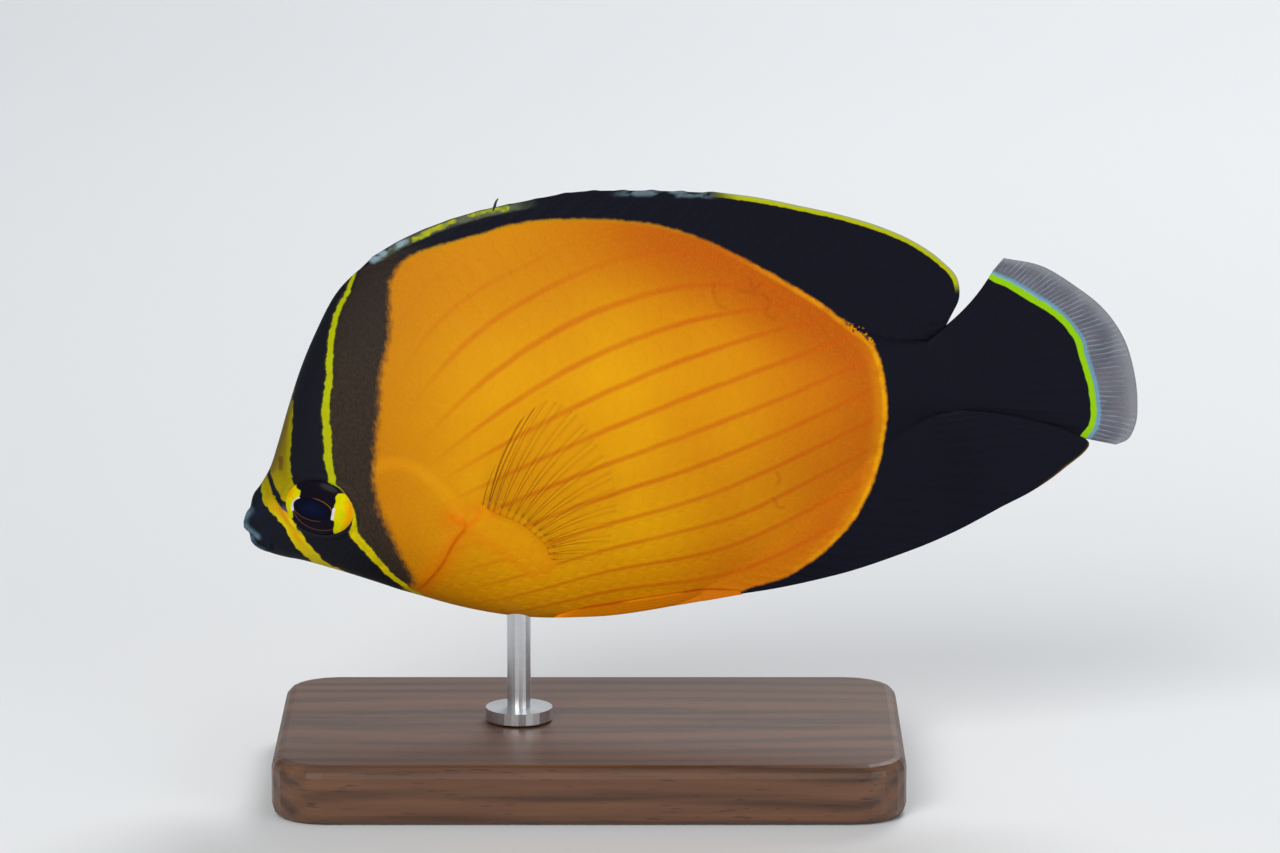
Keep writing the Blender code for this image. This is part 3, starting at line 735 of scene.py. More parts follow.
# %% Collect grids, weld them and make a mesh
class Sheets:
    """Grids of points in the fish's frame, with marks, that become one mesh."""

    def __init__(self):
        self.points = []
        self.faces = []
        self.marks = {}
        self.count = 0

    def add(self, points, marks_here, turned=False):
        """A grid of points: its faces look along the cross product of its two directions."""
        rows, columns = points.shape[:2]
        number = np.arange(rows * columns).reshape(rows, columns) + self.count
        corners = [number[:-1, :-1], number[1:, :-1], number[1:, 1:], number[:-1, 1:]]
        if turned:
            corners.reverse()
        self.faces.append(np.stack(corners, axis=-1).reshape(-1, 4))
        self.points.append(points.reshape(-1, 3))
        for name, values in marks_here.items():
            self.marks.setdefault(name, []).append(np.broadcast_to(values, (rows, columns)).ravel())
        self.count += rows * columns

    def weld(self):
        """Points, faces and marks after points in one place are made one."""
        points = np.concatenate(self.points)
        faces = np.concatenate(self.faces)
        keys = np.round(points * 1e4).astype(np.int64)
        _, first, same = np.unique(keys, axis=0, return_index=True, return_inverse=True)
        faces = same.reshape(-1)[faces]
        values = {name: np.concatenate(parts)[first] for name, parts in self.marks.items()}
        again = faces == np.roll(faces, 1, axis=1)
        kept = faces[~again.any(1)].tolist()
        three = again.sum(1) == 1
        kept += faces[three][~again[three]].reshape(-1, 3).tolist()
        return points[first], [face for face in kept if len(set(face)) == len(face)], values


def show(name, data):
    """An object in the scene, from a mesh, a lamp or a camera."""
    made = bpy.data.objects.new(name, data)
    bpy.context.scene.collection.objects.link(made)
    return made


def make_piece(name, points, faces, values):
    """A mesh object from points in the fish's frame, with one attribute for each mark."""
    mesh = bpy.data.meshes.new(name)
    mesh.from_pydata(in_the_room(points).tolist(), [], faces)
    for mark, numbers in values.items():
        layer = mesh.attributes.new(mark, "FLOAT", "POINT")
        layer.data.foreach_set("value", np.ascontiguousarray(numbers, np.float32))
    layer = mesh.attributes.new("place", "FLOAT_VECTOR", "POINT")
    layer.data.foreach_set("vector", np.ascontiguousarray(points, np.float32).ravel())
    mesh.shade_smooth()
    piece = show(name, mesh)
    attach(piece, "root")
    print(name, "has", sum(len(face) - 2 for face in faces), "triangles")
    return piece


# %% [markdown]
# ## The skin
#
# Stations run from the snout to the end of the tail stalk, closest together where lips and
# nostrils are. Each station is a curve down the flank. Towards the head the points crowd at the
# outline, which is round there. Over the fins they are spread evenly.

# %% Flanks
SNOUT = -0.4
SNOUT_STATIONS = 150
BODY_STATIONS = 470
ROWS = 160
SNOUT_CAP = 0.12
EVENNESS = 0.75
EVEN_FROM = 12
EVEN_OVER = 16

snout_stations = SNOUT + (BACK_FIN[0] - SNOUT) * np.linspace(0, 1, SNOUT_STATIONS) ** 1.5
stations = np.concatenate((snout_stations, np.linspace(BACK_FIN[0], STALK_END, BODY_STATIONS)[1:]))
for fin in (back_fin, anal_fin):
    fin.first = stations[np.abs(stations - fin.first).argmin()]
    fin.last = stations[np.abs(stations - fin.last).argmin()]

row = np.linspace(0, 1, ROWS + 1)
crowded = np.cos(math.pi * row)
even = (1 - 2 * row) * (1.25 - 0.25 * (1 - 2 * row) ** 2)
evenness = EVENNESS * smooth_step((stations - EVEN_FROM) / EVEN_OVER)[:, None]
level = crowded * (1 - evenness) + even * evenness
body_u = np.broadcast_to(stations[:, None], level.shape)
widest = WIDEST_AT(body_u)
body_w = widest + level * np.where(level > 0, BACK(body_u) - widest, widest - BELLY(body_u))
body_v = skin_half(body_u, body_w)
open_above = (stations > back_fin.first) & (stations < back_fin.last)
open_below = (stations > anal_fin.first) & (stations < anal_fin.last)
body_v[~open_above, 0] = 0
body_v[~open_below, -1] = 0

normal = outward(body_u, body_w)
normal[:, (0, -1), 1] = 0
normal /= np.linalg.norm(normal, axis=-1, keepdims=True)
body = np.stack((body_u, body_v, body_w), axis=-1)
body += normal * face_relief(body_u, body_w)[..., None]

cap = np.linspace(math.pi / 2, 0, 6)[:-1, None, None]
middle = body[0].mean(0) * (1, 0, 1)
cap_rings = middle + (body[0] - middle) * np.cos(cap) - np.array((SNOUT_CAP, 0, 0)) * np.sin(cap)
body = np.concatenate((cap_rings, body))
body_u = np.concatenate((np.repeat(body_u[:1], len(cap), axis=0), body_u))
body_w = np.concatenate((np.repeat(body_w[:1], len(cap), axis=0), body_w))
print("flank grid", body.shape[:2])


# %% Grids of the fins and the tail
FIN_ROWS = 40
TAIL_COLUMNS = 80
STALK_FADES = 0.4


def fin_grid(fin):
    """Places and half thickness of a fin, from its root row to its margin, and how far out."""
    roots = stations[(stations >= fin.first) & (stations <= fin.last)]
    t = 1 - (1 - np.linspace(0, 1, FIN_ROWS + 1)) ** 1.4
    u, t = np.meshgrid(roots, t, indexing="ij")
    places = fin.at(u, t)
    half = fin.half(u, t)
    half[:, 0] = skin_half(roots, fin.outline(roots))
    half[:, 0] *= fin.ends(roots) > 0
    return np.stack((places[..., 0], half, places[..., 1]), axis=-1), t


def tail_grid():
    """The tail fin's dark part, from the last ring of the stalk to the yellow line's outer side."""
    t = np.linspace(0, 1, TAIL_COLUMNS + 1)[:, None]
    share = (1 - level[-1])[None] / 2
    start = np.stack((body_u[-1], body_w[-1]), axis=-1)
    places = start + (point_on(TAIL_EDGE, share) - start) * t[..., None]
    hollow = TAIL_HOLLOW * 4 * t * (1 - t) * np.clip(1 - share / HOLLOW_SHARE, 0, 1)
    places = places + hollow[..., None] * HOLLOW_WAY
    stalk_half = flesh(body_u[-1], body_w[-1]) * (1 - smooth_step(t / STALK_FADES))
    half = blended(stalk_half, tail_half(share, t))
    half[0] = body[-1, :, 1]
    half[:, (0, -1)] = 0
    return np.stack((places[..., 0], half, places[..., 1]), axis=-1), t * np.ones_like(share)


tail_sheet, tail_out = tail_grid()
print("tail grid", tail_sheet.shape[:2])


# %% The welded skin
LOBE_PASSES = -1.3
LOBE_START = 91
LOBE_LENGTH = 8


def mirrored(points, side):
    return points * (1, side, 1)


def grid_marks(u, w, t):
    """The marks of a grid, and how far out on a fin each place is."""
    found = {name: values.reshape(u.shape) for name, values in marks(u.ravel(), w.ravel()).items()}
    found["outward"] = t
    found["rim"] = np.zeros_like(t)
    found["shade"] = np.full(t.shape, 0.5)
    return found


skin = Sheets()
body_marks = grid_marks(body_u, body_w, np.zeros_like(body_u))
for side in (-1, 1):
    skin.add(mirrored(body, side), body_marks, turned=side < 0)
for fin, turned in ((back_fin, False), (anal_fin, True)):
    grid, t = fin_grid(fin)
    fin_marks = grid_marks(grid[..., 0], grid[..., 2], t)
    fin_marks["tail_line"] = np.full(t.shape, -FAR)
    aside = np.zeros_like(grid)
    if fin is anal_fin:
        lobe = smooth_step((grid[..., 0] - LOBE_START) / LOBE_LENGTH)
        aside[..., 1] = LOBE_PASSES * lobe * smooth_step(t / 0.3)
    for side in (-1, 1):
        skin.add(mirrored(grid, side) + aside, fin_marks, turned=(side > 0) != turned)
tail_marks = grid_marks(tail_sheet[..., 0], tail_sheet[..., 2], tail_out)
tail_marks["fin_edge"] = np.full(tail_out.shape, FAR_FROM_EDGE)
for side in (-1, 1):
    skin.add(mirrored(tail_sheet, side), tail_marks, turned=side < 0)
skin_points, skin_faces, skin_marks = skin.weld()
fish_skin = make_piece("fish_skin", skin_points, skin_faces, skin_marks)
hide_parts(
    "head", "trunk", "tail_stalk", "dorsal_fin_spiny", "dorsal_fin_soft", "anal_fin",
    "caudal_fin",
)

# %% [markdown]
# ## Paint as sums
#
# A material is a small sum over the marks: where the distance passes zero, one colour gives way
# to another. Written as Python expressions, such sums stay readable, so a small class stands for
# one socket and turns each operator into a node. Colours go on in coats, as on a painted cast:
# each coat says what share of the surface it covers, and the next one lies over it.


# %% A socket that can be added, multiplied and compared
class Value:
    """One output of a material's nodes, for use in expressions."""

    def __init__(self, paint, socket):
        self.paint = paint
        self.socket = socket

    def __add__(self, other):
        return self.paint.maths("ADD", self, other)

    def __radd__(self, other):
        return self.paint.maths("ADD", other, self)

    def __sub__(self, other):
        return self.paint.maths("SUBTRACT", self, other)

    def __rsub__(self, other):
        return self.paint.maths("SUBTRACT", other, self)

    def __mul__(self, other):
        return self.paint.maths("MULTIPLY", self, other)

    def __rmul__(self, other):
        return self.paint.maths("MULTIPLY", other, self)

    def __truediv__(self, other):
        return self.paint.maths("DIVIDE", self, other)

    def __rtruediv__(self, other):
        return self.paint.maths("DIVIDE", other, self)

    def __abs__(self):
        return self.paint.maths("ABSOLUTE", self)

    def __round__(self):
        return self.paint.maths("ROUND", self)

    def step(self, low, high):
        """0 below low, 1 above high and smooth between; low may be the greater."""
        return self.paint.node(
            "ShaderNodeMapRange", {"interpolation_type": "SMOOTHSTEP"},
            {"Value": self, "From Min": low, "From Max": high},
        )


# %% A material that takes coats of colour
def colour(red, green, blue):
    """A colour as a screen shows it, from 0 to 255, for a shader."""
    def linear(x):
        x = x / 255
        return x / 12.92 if x <= 0.04045 else ((x + 0.055) / 1.055) ** 2.4
    return (linear(red), linear(green), linear(blue), 1)


class Paint:
    """A material and its nodes."""

    def __init__(self, name, **uniform):
        self.material = bpy.data.materials.new(name)
        self.material.use_nodes = True
        self.tree = self.material.node_tree
        self.shader = self.tree.nodes["Principled BSDF"]
        self.set(**uniform)

    def put(self, socket, value):
        if isinstance(value, Value):
            self.tree.links.new(value.socket, socket)
        else:
            socket.default_value = value

    def set(self, **inputs):
        """Values for the shader's own sockets, with _ for a space in a socket's name."""
        for name, value in inputs.items():
            self.put(self.shader.inputs[name.replace("_", " ")], value)

    def node(self, kind, settings=None, sockets=None, output=0):
        made = self.tree.nodes.new(kind)
        for name, setting in (settings or {}).items():
            setattr(made, name, setting)
        for name, value in (sockets or {}).items():
            self.put(made.inputs[name], value)
        return Value(self, made.outputs[output])

    def maths(self, operation, *values):
        return self.node("ShaderNodeMath", {"operation": operation}, dict(enumerate(values)))

    def vectors(self, operation, *values, output=0):
        settings = {"operation": operation}
        return self.node("ShaderNodeVectorMath", settings, dict(enumerate(values)), output)

    def mark(self, name, output="Fac"):
        return self.node("ShaderNodeAttribute", {"attribute_name": name}, output=output)

    def place(self, stretch=(1, 1, 1)):
        """The place in the fish's frame, in millimetres, squeezed for long or flat grain."""
        return self.vectors("MULTIPLY", self.mark("place", "Vector"), stretch)

    def noise(self, scale, detail=3.0, stretch=(1, 1, 1)):
        """Smooth noise from 0 to 1, scale bumps to the millimetre."""
        sockets = {"Vector": self.place(stretch), "Scale": scale, "Detail": detail}
        return self.node("ShaderNodeTexNoise", {}, sockets)

    def mix(self, share, first, second):
        """Colours: first where share is 0, second where it is 1."""
        first, second = (x if isinstance(x, Value) else colour(*x) for x in (first, second))
        sockets = {0: share, 6: first, 7: second}
        return self.node("ShaderNodeMix", {"data_type": "RGBA"}, sockets, output=2)

    def coats(self, ground, *coats):
        """Coats of colour over a ground: each has the share it covers, and its colour."""
        for share, top in coats:
            ground = self.mix(share, ground, top)
        return ground

    def bumps(self, height, strength, distance):
        """Fine relief: height is a value from 0 to 1, distance its size in metres."""
        sockets = {"Height": height, "Strength": strength, "Distance": distance}
        return self.node("ShaderNodeBump", {}, sockets)

    def dry(self, **inputs):
        """The finished material, once its last values are joined to the shader."""
        self.set(**inputs)
        print(self.material.name, "takes", len(self.tree.nodes), "nodes")
        return self.material


def wear(material, *names):
    for name in names:
        bpy.data.objects[name].data.materials.append(material)


# %% [markdown]
# ## Colours of the skin
#
# The flank is a warm orange that deepens towards its edge. Black is never flat: it is bluish on
# the fins and the snout and turns brown on the nape, where every scale keeps a dusky rim. Edges
# between colours are a little ragged, because they follow single scales.

# %% The orange field
def field_paint(paint, u, w, orange, fine):
    """The orange field: golden in the middle, deep orange to the rear, with its slanting lines."""
    deep = u.step(40.0, 66.0) * orange.step(11.0, 2.0) * (0.4 + w.step(-10.0, 8.0) * 0.36)
    off_line = paint.maths("FRACT", paint.mark("line") + 100.5) - 0.5
    off_line = abs(off_line + (paint.noise(0.35, 2.0) - 0.5) * 0.06)
    strength = off_line.step(0.13, 0.02) * orange.step(0.2, 1.4) * u.step(22.0, 40.0)
    strength = strength * w.step(30.5, 19.0) * (0.3 + paint.noise(0.13) * 0.5)
    pad = paint.mark("pad_middle")
    gill = paint.mark("gill_line")
    glow = paint.maths("MAXIMUM", pad.step(3.8, 1.6), gill.step(3.0, 0.3))
    olive_rim = orange.step(0.6, 0.15) * w.step(23.0, 28.0) * u.step(26.0, 32.0) * 0.4
    wide_rim = orange.step(2.4, 0.6) * w.step(10.0, 2.0)
    rim = u.step(66.0, 80.0) * (orange.step(0.85, 0.4) * 0.6 + wide_rim * 0.4)
    rim = rim * (0.45 + paint.noise(0.6).step(0.3, 0.6) * 0.5)
    return paint.coats(
        (214, 151, 0),
        (paint.noise(0.07, 2.0).step(0.35, 0.65), (209, 143, 0)),
        (w.step(8.0, 27.0) * 0.75, (190, 114, 0)),
        (u.step(38.0, 18.0) * 0.85, (180, 109, 0)),
        (w.step(-11.0, -20.0) * 0.6, (202, 126, 0)),
        (u.step(51.0, 65.0) * 0.3 + u.step(66.0, 77.0) * 0.3, (178, 72, 0)),
        (deep, (170, 68, 0)),
        (strength * pad.step(1.4, 3.6), (184, 74, 0)),
        (paint.mark("cover_rim").step(1.3, 0.2) * 0.3, (222, 150, 4)),
        (glow * 0.32, (216, 98, 0)),
        (pad.step(2.2, 0.5) * 0.6, (212, 146, 2)),
        (gill.step(0.8, 0.1) * 0.36, (226, 88, 0)),
        (paint.mark("scuff").step(0.42, 0.05) * 0.34, (150, 56, 0)),
        (fine.step(0.4, 0.75) * 0.12, (228, 168, 12)),
        (paint.mark("shade") * 0.08, (188, 104, 0)),
        (paint.mark("rim").step(0.7, 1.0) * 0.05, (186, 92, 0)),
        (olive_rim, (160, 132, 6)),
        (rim, (224, 154, 0)),
    )


# %% Black fins and bands, and the brown nape
def dark_paint(paint, u, w, fine):
    """Blue-black fins and bands, and the brown nape with its dusky hatch along the scale rows."""
    deep_blue = u.step(6.0, 0.0) * paint.noise(0.7, 3.0).step(0.35, 0.7)
    blue_black = paint.coats(
        (7, 8, 18),
        (fine, (13, 14, 28)),
        (u.step(26.0, 17.0) * 0.4, (26, 27, 31)),
        (deep_blue * 0.7, (12, 26, 50)),
    )
    brown = paint.coats(
        (42, 33, 27),
        (paint.noise(4.6, 3.0, (1.0, 1.0, 0.45)).step(0.32, 0.7), (56, 45, 35)),
        (w.step(14.0, 30.0) * 0.5, (30, 25, 24)),
        (paint.mark("rim").step(0.6, 1.0) * 0.3, (30, 24, 21)),
    )
    nape = paint.mark("behind_nape").step(0.1, 1.0) * paint.mark("outward").step(0.05, 0.0)
    nape = nape * (u - w * 0.1).step(30.0, 22.0)
    return paint.mix(nape, blue_black, brown)


# %% The yellow face and the yellow line
def face_paint(paint, body, u, w, ragged, fine):
    """The yellow face with its brow and its slit, and the line behind the black eye band."""
    face = paint.mark("face")
    stripe = face.step(0.25, 0.9) * w.step(3.0, 0.5) * w.step(-6.5, -2.5)
    yellow = paint.coats(
        (156, 144, 0),
        (w.step(2.0, 9.0), (112, 100, 0)),
        (paint.noise(0.5, 4.0).step(0.42, 0.66) * 0.5, (136, 92, 0)),
        (face.step(1.0, 0.3) * w.step(1.5, 3.5) * 0.55, (148, 148, 0)),
        (paint.mark("brow").step(0.9, 0.3) * 0.6, (88, 70, 26)),
        (w.step(3.6, -1.0), (200, 180, 0)),
        (stripe * 0.7, (206, 132, 0)),
    )
    slit = (paint.mark("slit") + ragged * 0.16 - w.step(4.6, 1.6) * 0.16).step(0.46, 0.2)
    slit = slit * (1 - w.step(4.0, 5.0) * u.step(5.2, 5.6) * (0.3 + fine * 0.4))
    line = paint.coats(
        (206, 186, 0),
        (w.step(-5.0, 4.0), (166, 176, 0)),
        (paint.noise(0.7).step(0.3, 0.7) * 0.45, (160, 152, 0)),
    )
    on_line = paint.mark("nape_line") + ragged * 0.75
    return paint.coats(
        body,
        ((face + ragged * 0.8).step(-0.1, 0.12), yellow),
        (slit, paint.mix(w.step(1.9, 1.1), (16, 20, 32), (70, 60, 82))),
        (on_line.step(-0.3, 0.0) * 0.35, (96, 92, 20)),
        (on_line.step(-0.1, 0.1), line),
    )


# %% Coloured edges
def edge_paint(paint, body, u, w, ragged):
    """The coloured edges with painted sheen on the lips, the fold of the back fin with painted
    glints, its yellow line and the tail's.
    """
    edge = paint.mark("fin_edge") + ragged * 0.3
    above = paint.mark("above")
    tail = paint.mark("tail_line")
    # Patchy strength of the painted sheen on the lips.
    shine = paint.noise(1.3, 4.0).step(0.3, 0.7) * 0.65 + 0.35
    patchy = paint.noise(0.9, 2.0, (0.5, 1.0, 1.0)).step(0.38, 0.56)
    grey = u.step(24.0, 27.0) * u.step(47.5, 43.0) * edge.step(1.25, 0.8) * above
    # Painted highlights: bluish-white glints along the front and middle of the folded back fin's
    # edge.
    glint = u.step(56.0, 60.0) * u.step(71.0, 68.0) * 0.5
    glint = u.step(21.0, 23.0) * u.step(30.0, 28.0) + glint
    sliver = (paint.mark("sliver") + ragged * 1.1).step(0.5, 0.15)
    lime = paint.mix(paint.noise(1.2).step(0.35, 0.65), (164, 164, 8), (118, 132, 44))
    hairline = edge.step(0.22, 0.08) * u.step(25.0, 27.0) * u.step(66.0, 58.0) * above
    lobe = u.step(69.0, 74.0) * above * w.step(10.4, 12.2)
    rear = edge.step(0.3, 0.12) * u.step(104.0, 107.0) * w.step(-12.8, -14.0)
    on_tail_line = abs(tail + (paint.noise(0.8) - 0.5) * 0.3)
    return paint.coats(
        body,
        # Painted sheen: a pale bluish shine along the lips.
        (paint.mark("lip").step(0.85, 0.0) * shine * 0.7, (106, 138, 154)),
        (grey * (0.5 + patchy * 0.35), (92, 98, 74)),
        # Painted highlights: the glints on the back fin's edge.
        (glint * patchy * edge.step(1.1, 0.5) * above * 0.8, (134, 160, 172)),
        (sliver, lime),
        (hairline * 0.65, (24, 27, 30)),
        (edge.step(0.74, 0.56) * lobe, (168, 170, 2)),
        (edge.step(0.24, 0.1) * lobe * 0.5, (126, 150, 150)),
        (rear * 0.7, (112, 84, 14)),
        (tail.step(0.26, 0.46) * 0.9, (122, 168, 186)),
        (on_tail_line.step(0.48, 0.34), (136, 188, 2)),
    )


# %% The whole skin's paint
FINE_RELIEF = 0.0001


def fish_paint():
    """The orange field over the dark parts, then the face and the coloured edges."""
    paint = Paint("fish_skin", Specular_IOR_Level=0.08)
    place = paint.place()
    u, w = (paint.node("ShaderNodeSeparateXYZ", {}, {0: place}, output=axis) for axis in "XZ")
    ragged = paint.noise(1.1, 4.0) - 0.5
    fine = paint.noise(4.5, 3.0)
    orange = paint.mark("orange")
    soft = u.step(30.0, 23.0)
    fringe = (paint.noise(2.6, 3.0, (1.0, 1.0, 0.4)) - 0.5) * soft * 1.1
    fray = u.step(83.0, 85.0) * u.step(88.0, 86.5) * w.step(5.5, 7.5) * w.step(11.0, 9.5)
    fringe = fringe + (paint.noise(1.8, 2.0) - 0.5) * fray * 3.0
    in_field = (orange + ragged * (0.5 + soft * 0.5) + fringe) / (0.25 + soft * 0.5)
    dark = dark_paint(paint, u, w, fine)
    body = paint.mix(in_field.step(-1.0, 1.0), dark, field_paint(paint, u, w, orange, fine))
    body = face_paint(paint, body, u, w, ragged, fine)
    body = edge_paint(paint, body, u, w, ragged)
    relief = paint.bumps(fine, 0.25, FINE_RELIEF)
    return paint.dry(Base_Color=body, Roughness=0.5 + fine * 0.15, Normal=relief)


skin_material = fish_paint()
wear(skin_material, "fish_skin")

# %% [markdown]
# ## Scales
#
# Big scales lie in rows along the flank, two rows to each slanting line, and small ones cover
# the head, the breast and the bases of the fins. Each is a thin plate whose front is sunk in the
# skin and whose rounded rear lies over the next. An array modifier can't follow rows that fan
# out, so each plate is laid by its own root and every one of its points is dropped on the skin.
# The plates carry the skin's marks, so the pattern runs over them unbroken.

# %% Unroll the flank
round_u, round_w = np.meshgrid(map_u, map_w, indexing="ij")
steps = np.hypot(np.diff(skin_half(round_u, round_w), axis=1), np.diff(round_w, axis=1))
girth = np.concatenate((np.zeros((len(map_u), 1)), np.cumsum(steps, axis=1)), axis=1)
girth -= girth[:, np.abs(map_w).argmin()][:, None]


def unrolled(u, w):
    """Places on the flank laid flat: along the fish, and round it from the level of the eye."""
    return np.stack((u, read_map(girth, u, w, map_u, map_w)), axis=-1)


edges = unrolled(np.array([40.0, 40.0]), np.array([-21.0, 31.0]))
print("flank is", round(float(np.ptp(edges[:, 1])), 1), "mm round")


# %% Rows of big plates
TRUNK_FRONT = Curve(
    (-18, 27), (-13, 23.2), (-5, 30.2), (0, 28.2), (5, 23.6), (9, 21.5), (20, 23.5), (28, 27.5),
    (32, 31),
)
TRUNK_END = 87.0
TRUNK_INSET = 1.3
FIRST_ROOT = 19.0
BIG_PITCH = 2.1
REAR_CLOSER = 0.22
BIG_LENGTH = 0.74
BIG_WIDTH = 0.64


def slope_of_line(u, number):
    return height_of_line(u + 0.5, number) - height_of_line(u - 0.5, number)


def on_trunk(u, w):
    behind = (u > TRUNK_FRONT(w)) & (u < TRUNK_END)
    return behind & (w < BACK(u) - TRUNK_INSET) & (w > BELLY(u) + TRUNK_INSET)


def big_roots():
    """Rows at every half line: places, angle, half length and half width."""
    found = []
    for row, number in enumerate(np.arange(-2.0, 13.5, 0.5)):
        u = FIRST_ROOT + BIG_PITCH * (row % 2) / 2
        while u < TRUNK_END:
            pitch = BIG_PITCH * (1 - REAR_CLOSER * float(smooth_step((u - 56) / 30)))
            high, here, low = (float(height_of_line(u, number + k)) for k in (-0.25, 0, 0.25))
            angle = math.atan(slope_of_line(u, number))
            found.append((u, here, angle, BIG_LENGTH * pitch, BIG_WIDTH * (high - low)))
            u += pitch * math.cos(angle)
    found = np.array(found).T
    return found[:, on_trunk(found[0], found[1])]


BIG_ROOTS = big_roots()
print("places for", BIG_ROOTS.shape[1], "big plates a side")


# %% A spread of small plates
SPREAD_ALONG = (3.2, 101)
SPREAD_UP = (-25, 36)
SMALL_PITCH = 1.05
ROW_STEP = 0.86
SMALL_LENGTH = 0.8
SMALL_WIDTH = 0.68
ASTRAY = 0.08
TWISTED = 0.06
UNEVEN = (0.95, 1.05)
FAN_TURN = 0.5
FAN_OVER = 4
OFF_EYE = 1.24
OFF_MOUTH = 1.5
OFF_COVER = 0.85
COVER_BARE_TO = 5.5
OFF_NOSTRIL = 0.7
OFF_MARGIN = 1.7
OFF_TAIL_LINE = 2.6
OFF_SLIT = 0.75


def small_roots():
    """A close hexagonal spread over head, breast, stalk and fin bases."""
    rng = np.random.default_rng(7)
    rows = np.arange(*SPREAD_UP, SMALL_PITCH * ROW_STEP)
    across, along = np.meshgrid(rows, np.arange(*SPREAD_ALONG, SMALL_PITCH))
    along = along + SMALL_PITCH / 2 * (np.arange(across.shape[1]) % 2)
    u = along.ravel() + rng.uniform(-ASTRAY, ASTRAY, along.size)
    w = across.ravel() + rng.uniform(-ASTRAY, ASTRAY, along.size)
    places = np.stack((u, w), axis=1)
    found = marks(u, w)
    bare = on_trunk(u, w) | (eye_ring(u, w) < OFF_EYE) | (distance(MOUTH_LINE, places) < OFF_MOUTH)
    bare |= (np.abs(u - GILL_EDGE(w)) < OFF_COVER) & (w < COVER_BARE_TO) & (w > COVER_FOOT)
    bare |= (found["fin_edge"] <= OFF_MARGIN) | (found["tail_line"] >= -OFF_TAIL_LINE)
    bare |= found["slit"] <= OFF_SLIT
    for hole_u, hole_w, radius in NOSTRILS:
        bare |= np.hypot(u - hole_u, w - hole_w) < radius + OFF_NOSTRIL
    u, w = places[~bare].T
    fanned = smooth_step((w - BACK(u)) / FAN_OVER) - smooth_step((BELLY(u) - w) / FAN_OVER)
    angle = np.arctan(slope_of_line(u, line_number(u, w))) + FAN_TURN * fanned
    size = SMALL_PITCH * rng.uniform(*UNEVEN, len(u))
    angle = angle + rng.uniform(-TWISTED, TWISTED, len(u))
    return np.stack((u, w, angle, SMALL_LENGTH * size, SMALL_WIDTH * size))


SMALL_ROOTS = small_roots()
print("places for", SMALL_ROOTS.shape[1], "small plates a side")

# %% The form of a plate
PLATE_ROUNDNESS = 2.5


def plate_form(segments, rings):
    """A plate from above: points from -1 to 1 with their ring, and its faces, under side too."""
    angle = 2 * math.pi * np.arange(segments) / segments
    outline = np.abs(np.stack((np.cos(angle), np.sin(angle)))) ** PLATE_ROUNDNESS
    edge = np.stack((np.cos(angle), np.sin(angle))) / outline.sum(0) ** (1 / PLATE_ROUNDNESS)
    centre = np.zeros((1, 2))
    flat = np.concatenate([centre, *(ring * edge.T for ring in rings), centre])
    ring_of = np.repeat((0.0, *rings, 0.0), (1, *[segments] * len(rings), 1))
    here = np.arange(segments)
    after = (here + 1) % segments
    triangles = [(0, 1 + a, 1 + b) for a, b in zip(here, after)]
    quads = []
    for level in range(len(rings) - 1):
        inner = 1 + level * segments
        outer = inner + segments
        quads += [(inner + a, outer + a, outer + b, inner + b) for a, b in zip(here, after)]
    last = 1 + (len(rings) - 1) * segments
    triangles += [(last + b, last + a, len(flat) - 1) for a, b in zip(here, after)]
    return flat, ring_of, triangles + quads


BIG_FORM = plate_form(20, (0.35, 0.65, 0.85, 1.0))
SMALL_FORM = plate_form(12, (0.45, 0.78, 1.0))
print("a big plate has", len(BIG_FORM[0]), "points and a small one", len(SMALL_FORM[0]))

# %% Lay the plates
PATCH = 0.003
MAP_BORDER = 0.01
BESIDE = 30.0
FACES_OUT = 0.3
RIM_ANGLE = math.radians(60)
UNDER_SIDE = 3


def mail(name, roots, form, side, sunk, rise, lip):
    """One mesh of overlapping plates on one side, every point dropped on the skin."""
    flat, ring_of, faces = form
    u, w, angle, long, wide = (axis[:, None] for axis in roots)
    along = flat[:, 0] * long
    across = flat[:, 1] * wide
    at_u = u + along * np.cos(angle) - across * np.sin(angle)
    at_w = w + along * np.sin(angle) + across * np.cos(angle)
    height = -sunk + (sunk + rise) * (flat[:, 0] + 1) / 2 - lip * (ring_of == 1)
    height[-1] = -UNDER_SIDE * (sunk + lip)
    shade = np.random.default_rng(11).uniform(0, 1, len(u))
    points = []
    kept = []
    inward = Vector((0, -side, 0))
    for number, (plate_u, plate_w) in enumerate(zip(at_u, at_w)):
        plate = []
        for x, z, above in zip(plate_u, plate_w, height):
            place, out, _, _ = skin_tree.ray_cast(Vector((x, BESIDE * side, z)), inward)
            if place is None or out.y * side < FACES_OUT:
                break
            plate.append(place + out * above)
        if len(plate) == len(flat):
            points += plate
            kept.append(number)
    points = np.array(points)
    print(name, "takes", len(kept), "plates that lie on the skin")
    turned = [face[::-1] if side > 0 else face for face in faces]
    starts = range(0, len(points), len(flat))
    plate_faces = [tuple(i + start for i in face) for start in starts for face in turned]
    values = marks(at_u[kept].ravel(), at_w[kept].ravel())
    values["outward"] = np.zeros(len(points))
    values["rim"] = np.tile(ring_of, len(kept))
    values["shade"] = np.repeat(shade[kept], len(flat))
    piece = make_piece(name, points, plate_faces, values)
    piece.data.set_sharp_from_angle(angle=RIM_ANGLE)
    laid = unrolled(roots[0], roots[1])
    laid = (laid - laid.min(0)) / np.ptp(laid, axis=0)
    spread = MAP_BORDER + laid[kept] * (1 - 2 * MAP_BORDER)
    patches = (spread[:, None] + PATCH / 2 * flat).reshape(-1, 2)
    corners = np.array([corner for face in plate_faces for corner in face])
    layer = piece.data.uv_layers.new(name="OFBake")
    layer.data.foreach_set("uv", patches[corners].astype(np.float32).ravel())
    piece.data.materials.append(skin_material)
    return piece


